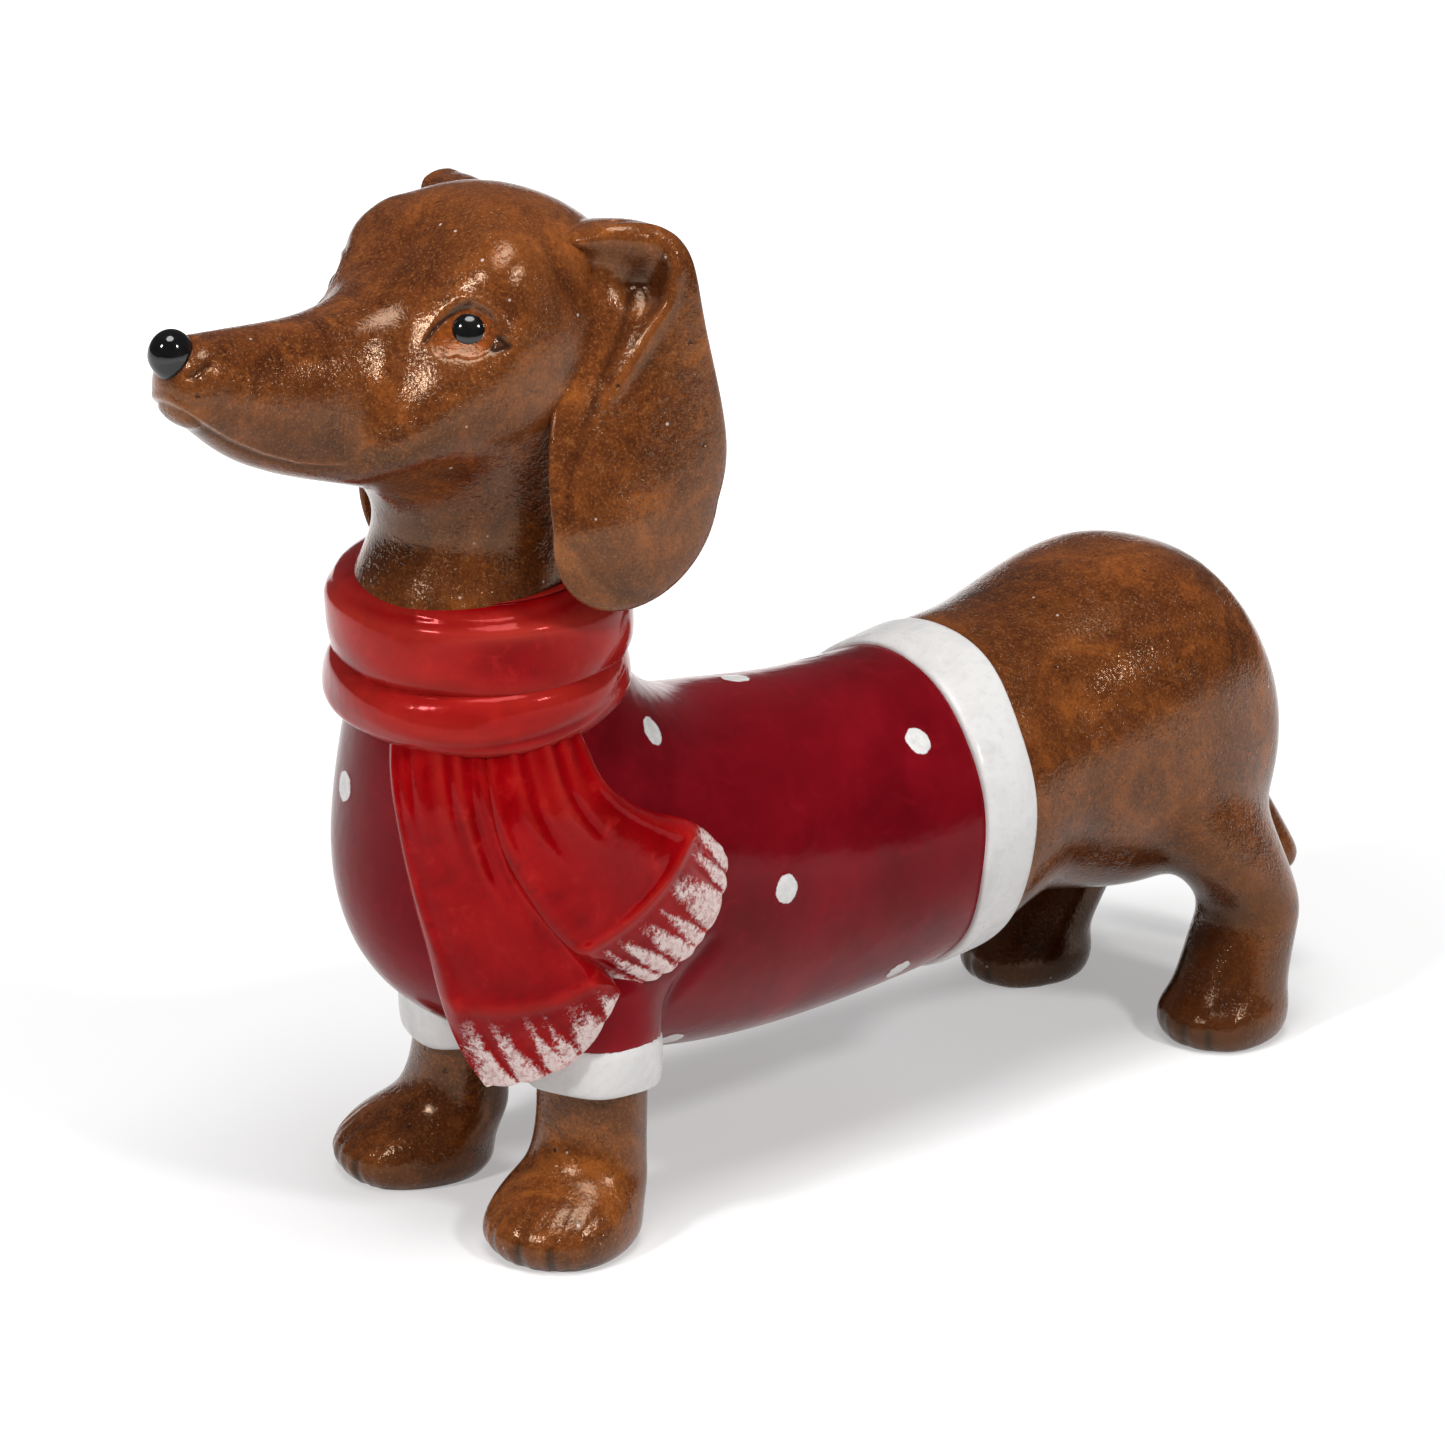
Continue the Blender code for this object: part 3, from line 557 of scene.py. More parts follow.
def make_hem_band():
    """A band that wavers a little and bows forward on both sides."""
    front = hem_row(-HEM_REACH, -HEM_RISE)
    rear = hem_row(HEM_REACH, HEM_RISE)

    def at(turn):
        ahead, out = oval_edge(front, turn)
        behind, _ = oval_edge(rear, turn)
        waver = 0.25 * math.sin(3 * turn + 1) + 0.2 * math.sin(7 * turn)
        width = (behind - ahead) / 2 * (1 + 0.04 * math.sin(5 * turn + 2))
        centre = (ahead + behind) / 2 + out * 0.1 + (0, waver - HEM_BOW * math.cos(turn) ** 2, 0)
        return section(centre, width, out * HEM_HALF_THICKNESS, 4.2)

    mesh = finished("hem_band", hoop(at, count=260, points=48))
    relax(mesh, 2)
    return mesh


CUFF_HEIGHT = 28.6
CUFF_AXES = (9.4, 7.6)  # half width and half length, inside the band
CUFF_REACH = 4.05
CUFF_HALF_THICKNESS = 1.05


def make_cuff():
    """A band round the left foreleg that wavers and stands off a little at its top."""
    leg = leg_row(FORE_X, FORE_Y, 0, 0, *CUFF_AXES, FORE_TURN)

    def at(turn):
        point, out = oval_edge(leg, turn)
        waver = 0.3 * math.sin(2 * turn + 0.6) + 0.15 * math.sin(5 * turn)
        tilt = np.array([0, 0, CUFF_REACH]) + out * 0.15
        centre = point + out * 0.6 + (0, 0, CUFF_HEIGHT + waver)
        return section(centre, tilt, out * CUFF_HALF_THICKNESS, 3.6)

    mesh = finished("left_cuff", hoop(at, count=150, points=44))
    relax(mesh, 2)
    return mesh


# Head

HEAD = [
    profile((-38, 92.3), (-76, 92.3), 18),
    profile((-39, 102.2), (-75.6, 101.1), 17.2),
    profile((-36, 113.8), (-71.2, 110.6), 16),
    profile((-31, 130.1), (-72.9, 117.6), 18.5),
    profile((-31.2, 148.4), (-77, 120.5), 21.3),
    profile((-46.2, 160.4), (-81.5, 122.2), 21.8, 2.15),
    profile((-60.6, 160.0), (-84.8, 123.3), 18.4, 2.3),
    profile((-70.2, 152.4), (-89.2, 124.6), 12.2, 2.3),
    profile((-81.5, 148.0), (-95, 126.9), 10.0, 2.2),
    profile((-94, 147.9), (-100.6, 130.1), 8.4),
    profile((-103.8, 148.2), (-106.4, 135.2), 6.9, 2.25),
]
MUZZLE_ROUND = (0, -5.2, 1.0)
SWELLS = [  # height, centre and half axes of the head's swellings and hollows, on its left
    (0.5, (15, -60, 156), (5, 6, 4)),  # brow bone
    (1.0, (16.5, -62, 153.5), (4.5, 5, 4)),  # over the eye
    (1.0, (17, -64, 133), (6, 9, 6)),  # cheek
    (0.5, (8, -103, 138), (4, 7, 4)),  # lip
    (1.5, (17.5, -47, 154.5), (4, 4, 3)),  # root of the ear
    (-0.7, (11, -78, 144), (4, 7, 4)),  # before the eye
    (-0.5, (0, -67, 156), (4, 6, 6)),  # middle of the forehead
]
BROW = [(9, -63, 157), (13, -60, 157.4), (16.5, -57.8, 155.4), (19, -57, 151.5), (20, -58.5, 147)]
# In the side view, as (y, z)
MOUTH = [(-113, 141.8), (-110.6, 139.6), (-106.8, 136.4), (-102.6, 133.3), (-97.7, 130.5),
         (-92.2, 128.2), (-88.6, 127.5), (-84, 127.4)]
MOUTH_END = (-84.5, -89)  # the line fades in between these
NOSE_WING = [(-108.4, 144.1), (-107.4, 145.0), (-106.2, 145.7)]
# The left eye's middle and its own axes, and lines round it as (back, up) from the middle
EYE = np.array([16.0, -68.2, 146.0])
EYE_OUT = np.array([0.72, -0.56, 0.41])
EYE_BACK = np.array([0.618, 0.786, -0.011])
EYE_UP = np.cross(EYE_OUT, EYE_BACK)
UPPER_LID = [(-6.3, -1.7), (-5.3, -0.2), (-4.3, 0.9), (-3.0, 2.0), (-1.6, 3.0), (-0.3, 3.4)]
LID_RIDGE = [(-4.6, 2.4), (-1.9, 4.5), (0, 4.6), (1.5, 4.1), (3.1, 3.1), (4.4, 1.6), (5.5, 0),
             (6.3, -1.8)]
EYE_CORNER = [(4.1, -1.3), (5.6, -2.4), (3.2, -3.2), (4.1, -1.3)]
FINE_SKIN = 9  # radius round the eye
EYEBALL = (0.1, -0.6)
FRONT_CORNER = (-2.9, -1.8)
EYE_RADIUS = 2.65
EYE_SHAPE = (1.0, 0.98, 0.6)
EYE_BED = 0.45


def swell_head(mesh):
    """Raises the brow, cheeks and lips, and presses a flat facet for each eye."""
    side = mirror_points(mesh)
    height = np.zeros(len(side))
    for rise, centre, radius in SWELLS:
        height += rise * bump(np.linalg.norm((side - centre) / radius, axis=1), 1.0)
    brow, part = from_line(side, BROW)
    height += 0.4 * bump(brow, 2.2) * ease(part, 0, 0.3) * ease(part, 1, 0.8)
    raise_skin(mesh, height)
    press_flat(mesh, EYE, EYE_OUT, radius=5.0)


def eye_marks(side):
    """Where the eyeball, the upper lid's line, the ridge over it and the rear corner lie."""
    at = side - EYE
    facet = np.stack([at @ EYE_BACK, at @ EYE_UP], axis=1)
    near = bump(at @ EYE_OUT, 5)
    lid, part = from_line(facet, UPPER_LID)
    lid = bump(lid, 0.3 + 0.25 * part) * near
    ridge, part = from_line(facet, LID_RIDGE)
    ridge = bump(ridge, 0.6) * np.sin(math.pi * np.clip(part, 0.04, 0.96)) * near
    corner, _ = from_line(facet, EYE_CORNER)
    corner = bump(corner, 0.6) * near
    ball = ease(np.linalg.norm(facet - EYEBALL, axis=1), 4.1, 3.3)
    ball = np.maximum(ball, ease(np.linalg.norm(facet - FRONT_CORNER, axis=1), 2.8, 1.8)) * near
    return ball, lid, ridge, corner


def make_head():
    """Neck, skull and muzzle, with the mouth's line, the nose's wings and the eyes' lids carved."""
    rings = smooth(HEAD, steps=22) + dome(HEAD[-1], MUZZLE_ROUND, steps=22)
    mesh = finished("head", loft(rings, points=250))
    refine(mesh, np.linalg.norm(mirror_points(mesh) - EYE, axis=1) < FINE_SKIN)
    relax(mesh, 2)
    swell_head(mesh)
    relax(mesh, 3)
    side = mirror_points(mesh)
    face = side[:, 1:]
    line = np.array(MOUTH)
    above = face[:, 1] - np.interp(face[:, 0], line[:, 0], line[:, 1])
    along = ease(face[:, 0], *MOUTH_END)
    groove = bump(above, 0.4) * along
    lips = (0.12 * bump(above + 1.5, 0.9) + 0.2 * bump(above - 0.9, 0.6)) * along
    wing, _ = from_line(face, NOSE_WING)
    wing = bump(wing, 0.45) * ease(side[:, 0], 2, 3)
    ball, lid, ridge, corner = eye_marks(side)
    height = lips - 0.35 * groove - 0.45 * wing + 0.4 * ridge - 0.4 * ball - 0.35 * lid - 0.3 * corner
    raise_skin(mesh, height)
    relax(mesh, 1)
    # Painted shade in the mouth's groove and in the nose's wing creases.
    note(mesh, "line", np.clip(0.45 * groove + 0.9 * wing, 0, 1))
    # A pale line along the lip's edge: thin glaze there, and a painted highlight.
    note(mesh, "pale", bump(above - 0.45, 0.3) * along)
    note(mesh, "rim", np.clip(lid + 1.1 * corner, 0, 1))
    note(mesh, "iris", ball)
    return mesh


EAR = [
    section((10, -42.6, 152.4), (0, 0, 4.4), (1, 8.2, 0)),
    section((18.2, -42.4, 154.4), (1, 0, 3.5), (2.5, 7.6, 0)),
    section((21.4, -41.9, 151.8), (2.8, 0, 1.2), (4.4, 7.0, 0)),
    section((23.1, -43.8, 142), (2.8, 0, 0), (4.4, 10.0, 0)),
    section((26.4, -45.7, 126.4), (2.8, 0, 0), (2.6, 14.3, 0)),
    section((28.0, -47.4, 116.5), (2.8, 0, 0), (1.2, 14.2, 0)),
]
EAR_ROUND = (0, -1.8, -13.7)
EAR_TOP = 157
RIGHT_EAR_FORWARD = 3.8
RIGHT_EAR_RISE = 0.2
RIGHT_EAR_IN = 0.1  # shares of the drop below the ear's top
RIGHT_EAR_BACK = 0.13
RIGHT_EAR_STRETCH = 0.13
# Lines on the left ear in the side view, as (y, z)
EAR_FRONT = [(-44.6, 148.5), (-46.6, 143.5), (-50.7, 137.1), (-54.2, 131.6)]
EAR_FLAP = [(-39.2, 154.8), (-39.3, 152), (-40.9, 147.1), (-46.4, 140), (-50.8, 135), (-54.5, 131)]
EAR_CREST = [(-45, 157.7), (-40.3, 157.7), (-39.1, 157.3), (-37.8, 155.3)]
EAR_RIM = [(-54.8, 129.8), (-58.3, 124.5), (-59.6, 119.1), (-59.2, 114.4), (-56.4, 109.8),
           (-52.0, 106.4), (-46, 104.6)]
EAR_HOLLOW = (-43.4, 150.0)


def make_ear():
    """A flap that folds over at the skull: in front of its rolled edge the inner ear lies deeper."""
    rings = smooth(EAR, steps=24) + dome(EAR[-1], EAR_ROUND, steps=26)
    mesh = finished("left_ear", loft(rings, points=190))
    relax(mesh, 2)
    places = points_of(mesh)
    face = places[:, 1:]
    y, z = face.T
    outer = ease(normals_of(mesh)[:, 0], 0.05, 0.4)
    edge, _ = from_line(face, EAR_FLAP)
    front, _ = from_line(face, EAR_FRONT)
    crest, _ = from_line(face, EAR_CREST)
    rim, _ = from_line(face, EAR_RIM)
    line = np.array(EAR_FLAP[::-1])
    ahead = np.interp(z, line[:, 1], line[:, 0]) - y
    upper = ease(z, 131.5, 139) * ease(z, 156.5, 152.5)
    depth = 0.4 + 1.2 * ease(z, 134, 149)
    hollow = bump(np.linalg.norm(face - EAR_HOLLOW, axis=1), 3.0)
    height = -depth * ease(ahead, -0.3, 1.8) * upper - 2.8 * hollow
    height += 0.7 * bump(ahead + 1.1, 1.1) * ease(z, 131, 136) * ease(z, 156, 151)
    height += 0.7 * bump(crest, 1.8) - 0.25 * bump(rim, 0.8)
    raise_skin(mesh, height * outer)
    relax(mesh, 3)
    # Painted shade: dark in the hollow under the fold, under the flap's rolled edge, in the rim's groove
    # and along the front crease.
    under_flap = bump(edge - 0.2, 0.7) * ease(ahead, -0.4, 0.4) * upper
    shade = 0.95 * hollow + 0.75 * under_flap + 0.35 * bump(rim, 0.45) + 0.7 * bump(front, 0.6)
    note(mesh, "line", np.clip(shade, 0, 1) * outer)
    return mesh


def hang_lower(mesh):
    """The right ear's root lies further forward, and its lobe hangs lower and closer to the neck."""
    places = points_of(mesh)
    drop = EAR_TOP - places[:, 2]
    back = RIGHT_EAR_BACK * drop - RIGHT_EAR_FORWARD
    up = RIGHT_EAR_RISE - RIGHT_EAR_STRETCH * drop
    move_points(mesh, places + np.stack([RIGHT_EAR_IN * drop, back, up], axis=1))


def make_eye():
    """A flat black bead, bedded in the head's left side."""
    out = Vector(EYE_OUT)
    bm = bmesh.new()
    bmesh.ops.create_icosphere(bm, subdivisions=5, radius=EYE_RADIUS * MM)
    bmesh.ops.scale(bm, verts=bm.verts, vec=EYE_SHAPE)
    bmesh.ops.rotate(bm, verts=bm.verts, matrix=out.to_track_quat("Z", "Y").to_matrix())
    bmesh.ops.translate(bm, verts=bm.verts, vec=(Vector(EYE) - out * EYE_BED) * MM)
    return finished("left_eye", bm)


NOSE = (0, -108.8, 146.2)
NOSE_RADIUS = 3.5
NOSE_SHAPE = (0.92, 0.98, 1.1)
NOSTRIL = [(1.9, -2.6, -1.3), (2.6, -1.9, -1.1), (3.1, -1.0, -0.6)]  # from the nose's middle


def make_nose():
    """A smooth egg that is narrower below, with a faint nostril on each side."""
    bm = bmesh.new()
    bmesh.ops.create_icosphere(bm, subdivisions=5, radius=NOSE_RADIUS * MM)
    mesh = finished("nose", bm)
    places = points_of(mesh) * NOSE_SHAPE
    low = ease(places[:, 2], 0, -3.8)
    places[:, :2] *= (1 - 0.16 * low)[:, None]
    nostril, _ = from_line(on_left(places), NOSTRIL)
    inward = -places / np.linalg.norm(places, axis=1)[:, None]
    places = places + inward * (0.12 * bump(nostril, 0.5))[:, None]
    move_points(mesh, places + NOSE)
    return mesh


# Scarf

NECK = np.array([0, -55.0, 0])
SCARF_INSIDE = 12  # radius, well inside the neck


def neck_hoop(shape, relief, height, tall, outside, square):
    """A turn of the scarf round the neck; shape(turn) moves it out, up and makes it taller."""

    def at(turn):
        out = np.array([math.cos(turn), math.sin(turn), 0])
        proud, rise, grow = shape(turn)
        reach = (outside + proud + SCARF_INSIDE) / 2
        thick = out * (outside + proud - SCARF_INSIDE) / 2
        return section(NECK + out * reach + (0, 0, height + rise), (0, 0, tall / 2 + grow), thick, square)

    return hoop(at, count=240, points=96, relief=relief)


def make_upper_turn():
    """The tall turn under the chin: its top is bevelled, and a crease runs round it."""

    def shape(turn):
        near = math.cos(turn + 0.69)
        proud = 0.5 * math.sin(2 * turn + 0.5)
        grow = -0.6 * near + 0.2 * math.sin(3 * turn)
        return proud, -0.9 * near, grow

    def relief(share, angle):
        turn = 2 * math.pi * share
        up = np.cos(angle)
        out = ease(np.sin(angle), 0.0, 0.4)
        bevel = -2.2 * ease(up, 0.35, 1.0)
        crease = -0.55 * bump(up - 0.55 - 0.1 * np.sin(turn + 0.5), 0.1)
        wave = 0.25 * np.sin(3 * turn + 5 * up) + 0.15 * np.sin(5 * turn - 4 * up)
        return (bevel + crease + wave) * out

    turn = neck_hoop(shape, relief, height=97.2, tall=16.4, outside=22.6, square=3.1)
    mesh = finished("scarf_upper_turn", turn)
    relax(mesh, 2)
    return mesh


LOWER_CREASE_TURN = math.radians(-20)


def make_lower_turn():
    """The lower turn, with a slanting crease on the dog's left."""

    def shape(turn):
        proud = 0.6 * math.sin(2 * turn + 2.5) + 1.2 * max(0, math.cos(turn - 4.0)) ** 3
        rise = 1.0 + math.cos(2 * turn - 1.76) + 0.6 * math.cos(turn - 0.88)
        return proud, rise, 0.3 * math.sin(2 * turn + 1)

    def relief(share, angle):
        turn = 2 * math.pi * share
        up = np.cos(angle)
        out = ease(np.sin(angle), 0.0, 0.4)
        off = np.abs((turn - LOWER_CREASE_TURN + math.pi) % (2 * math.pi) - math.pi)
        crease = -0.5 * bump(up - 0.1 - 0.5 * np.sin(turn - 0.7), 0.12) * bump(off, 0.7)
        wave = 0.22 * np.sin(4 * turn + 4 * up)
        return (crease + wave) * out

    turn = neck_hoop(shape, relief, height=85.7, tall=11.3, outside=23.1, square=2.4)
    mesh = finished("scarf_lower_turn", turn)
    relax(mesh, 2)
    return mesh


body_at = spline(BODY)


def on_jumper(row, degrees):
    """A point on the jumper's outside and the outward normal there."""
    angle, step = math.radians(degrees), 0.02

    def point(row, angle):
        return oval_points(body_at(row)[None], np.array([angle]))[0]

    here = point(row, angle)
    along = point(row + step, angle) - point(row - step, angle)
    round_it = point(row, angle + step) - point(row, angle - step)
    normal = np.cross(along, round_it)
    normal /= np.linalg.norm(normal)
    return here, normal * np.sign(normal @ (here - body_at(row)[0:3]))


END_HALF_WIDTH = 12.5
END_DEPTH = 3.5  # clay below the jumper's surface
END_SQUARE = 3.0
END_ROUND = 0.9
FRINGE_START = 0.77  # share along an end


def scarf_row(place, side, sag, proud):
    """A section of a hanging end, proud of the jumper; place is a row of BODY and degrees round it."""
    middle, normal = on_jumper(*place)
    thick = (proud + END_DEPTH) / 2
    middle = middle + normal * (proud - thick)
    half_width = np.array(side) * END_HALF_WIDTH
    return section(middle, half_width, normal * thick, END_SQUARE, sag * END_HALF_WIDTH)


FRONT_END = [
    scarf_row((0.4, -57.5), (0.55, 0.33, 0.03), 0.13, 0.8),
    scarf_row((1.06, -54.5), (0.54, 0.36, 0.03), 0.12, 2.3),
    scarf_row((1.56, -51.5), (0.52, 0.40, 0.06), 0.11, 2.9),
    scarf_row((2.17, -48.2), (0.50, 0.45, 0.07), 0.11, 2.9),
    scarf_row((2.85, -44.7), (0.52, 0.54, 0.07), 0.12, 2.9),
    scarf_row((3.66, -43.0), (0.55, 0.72, 0.08), 0.13, 3.0),
    section((20.4, -61.2, 40.0), (7.6, 9.6, 3.8), (2.0, -1.45, -0.25), END_SQUARE, 0.9),
    section((21.6, -58.8, 35.0), (6.2, 7.8, 7.6), (1.5, -1.15, -0.1), END_SQUARE, 0.5),
]
REAR_END = [
    scarf_row((0.2, -18), (0.15, 0.48, 0.08), 0.13, 0.8),
    scarf_row((1.24, -15.9), (0.18, 0.67, 0.11), 0.13, 2.8),
    scarf_row((1.86, -14.7), (0.17, 0.73, 0.21), 0.14, 3.8),
    scarf_row((2.51, -10.7), (0.13, 0.84, 0.30), 0.16, 3.8),
    scarf_row((3.27, -6.3), (0.08, 0.92, 0.49), 0.18, 3.7),
    scarf_row((4.01, -4.4), (0.05, 0.90, 0.68), 0.18, 3.5),
    scarf_row((4.85, -7.5), (0.0, 0.77, 0.68), 0.12, 3.2),
]
FRONT_FOLDS = [  # place across, drift, width, depth, start and end
    (0.62, -0.12, 0.08, 0.45, -0.2, 0.62),
    (0.25, -0.1, 0.08, 0.3, -0.2, 0.5),
    (-0.5, 0.0, 0.09, 0.3, -0.2, 0.45),
]
REAR_FOLDS = [
    (0.35, -0.12, 0.08, 0.45, -0.2, 0.6),
    (-0.3, 0.1, 0.09, 0.4, -0.2, 0.6),
    (0.7, -0.1, 0.08, 0.3, -0.2, 0.45),
]


def end_across(angle):
    """The place across a hanging end, from -1 to 1, of an angle round its section."""
    return np.sign(np.cos(angle)) * np.abs(np.cos(angle)) ** (2 / END_SQUARE)


def fringe_strands(across, count, phase):
    """One at the middle of each strand of the fringe and nought in the clefts between them."""
    turn = math.pi * count * across / 2 + phase
    turn = turn + 0.7 * np.sin(4.1 * across + 2 * phase) + 0.5 * np.sin(9 * across)
    return np.abs(np.sin(turn)) ** 0.9


def end_relief(folds, count, phase):
    """Raised rims, folds that fade downwards, a ridge before the fringe and its strands."""

    def relief(share, angle):
        across = end_across(angle)
        outside = ease(np.sin(angle), 0.02, 0.4)
        fringe = ease(share, FRINGE_START + 0.01, FRINGE_START + 0.08)
        rims = 0.65 * bump(np.abs(across) - 0.87, 0.1) - 0.3 * bump(across, 0.5)
        height = rims * (1 - fringe) * ease(share, 0.06, 0.16)
        for at, drift, width, depth, start, end in folds:
            fade = ease(share, start, start + 0.1) * ease(share, end, end - 0.3)
            height -= depth * bump(across - at - drift * share, width) * fade
            height += 0.5 * depth * bump(across - at - drift * share + 2 * width, width) * fade
        height += 0.45 * bump(share - FRINGE_START, 0.016) * ease(np.abs(across), 1.0, 0.8)
        tip = ease(share, FRINGE_START, 1.0)
        cleft = 1 - fringe_strands(across, count, phase)
        height -= fringe * (0.35 + (0.2 + 0.4 * tip) * cleft + 0.5 * tip)
        return height * outside

    return relief


def kept_values(mesh, name):
    """The values that a mesh keeps at its points under a name."""
    values = np.empty(len(mesh.vertices), np.float32)
    mesh.attributes[name].data.foreach_get("value", values)
    return values


def make_end(name, rows, folds, count, phase, bulge):
    """A hanging end; its fringe of count strands bulges in the middle, along the end's own way."""
    rings = smooth(rows, steps=32)
    last, before = rings[-1], rings[-20]
    side = last[3:6]
    flow = last[0:3] - before[0:3]
    flow = flow - side * (flow @ side) / (side @ side)
    flow /= np.linalg.norm(flow)
    rings += dome(last, flow * END_ROUND, steps=5)
    mesh = finished(name, loft(rings, points=320, relief=end_relief(folds, count, phase)))
    share = kept_values(mesh, "along")
    across = end_across(kept_values(mesh, "angle"))
    strands = fringe_strands(across, count, phase)
    reach = bulge * (1 - across**2) * ease(share, 0.5, 1.0)
    reach = reach + 0.25 * (strands - 0.7) * ease(share, 0.93, 1.0)
    move_points(mesh, points_of(mesh) + flow * reach[:, None])
    relax(mesh, 3)
    note(mesh, "fringe", (share - FRINGE_START) / (1 - FRINGE_START))
    note(mesh, "strand", strands)
    return mesh


# Brush marks

DOTS = [  # points near the jumper's surface
    (-5.7, -76.4, 72.3), (17.5, -36.2, 78.3), (-1.8, -3.8, 73.9), (18.5, 16.2, 64.7),
    (27.0, -17.6, 50.7), (14.8, -30.5, 25.6), (19.5, 12.1, 27.6), (-24.0, 2.0, 58.0),
    (-26.5, -27.0, 53.0), (-21.0, -47.0, 72.0), (-22.0, 14.0, 33.0), (-15.0, -66.0, 46.0),
    (0.0, -2.0, 20.0), (-10.0, 18.0, 71.0), (-17.0, -24.0, 30.0),
]
DOT_RADIUS = 2.25
DOT_HEIGHT = 0.12
DOT_SHAPE = (1, 1.04, 0.96)
FORE_SLITS = (7.8, 11.9)  # forward shift of the paw's middle, and reach from there
HIND_SLITS = (4.5, 10.6)
SLIT_WIDTH = 0.62
SLIT_LENGTH = 2.6
PAW_NARROWING = 0.86  # width over length


def make_dots(mesh):
    """Notes the distance from the nearest dot, and raises the dots like thick paint."""
    places = points_of(mesh)
    nearest = np.full(len(places), np.inf)
    for dot in DOTS:
        centre = places[np.argmin(np.linalg.norm(places - dot, axis=1))]
        nearest = np.minimum(nearest, np.linalg.norm((places - centre) * DOT_SHAPE, axis=1))
    note(mesh, "dot", nearest)
    raise_skin(mesh, DOT_HEIGHT * ease(nearest, DOT_RADIUS + 0.25, DOT_RADIUS - 0.25))


def note_slits(mesh, paws):
    """Notes short dark strokes between the toes; paws are (x, y, forward, reach, turn, side)."""
    places = points_of(mesh)
    dark = np.zeros(len(places))
    height = ease(places[:, 2], 5.4, 3.8) * ease(places[:, 2], 0.2, 0.9)
    for x, y, forward, reach, turn, side in paws:
        ahead = np.array([side * math.sin(turn), -math.cos(turn)])
        aside = np.array([side * math.cos(turn), math.sin(turn)])
        middle = np.array([side * x, y]) + forward * ahead
        for gap in TOE_GAPS:
            angle = math.radians(gap)
            out = math.cos(angle) * ahead + PAW_NARROWING * math.sin(angle) * aside
            offset = places[:, :2] - middle - reach * out
            along = offset @ out / np.linalg.norm(out)
            across = np.sqrt(np.maximum((offset**2).sum(axis=1) - along**2, 0))
            dark = np.maximum(dark, bump(across, SLIT_WIDTH) * bump(along, SLIT_LENGTH) * height)
    note(mesh, "slit", dark)


# Finishes

def srgb(red, green, blue):
    """The linear light of a screen colour, whose parts run from 0 to 255."""

    def level(value):
        value /= 255
        return value / 12.92 if value < 0.04045 else ((value + 0.055) / 1.055) ** 2.4

    return level(red), level(green), level(blue), 1.0


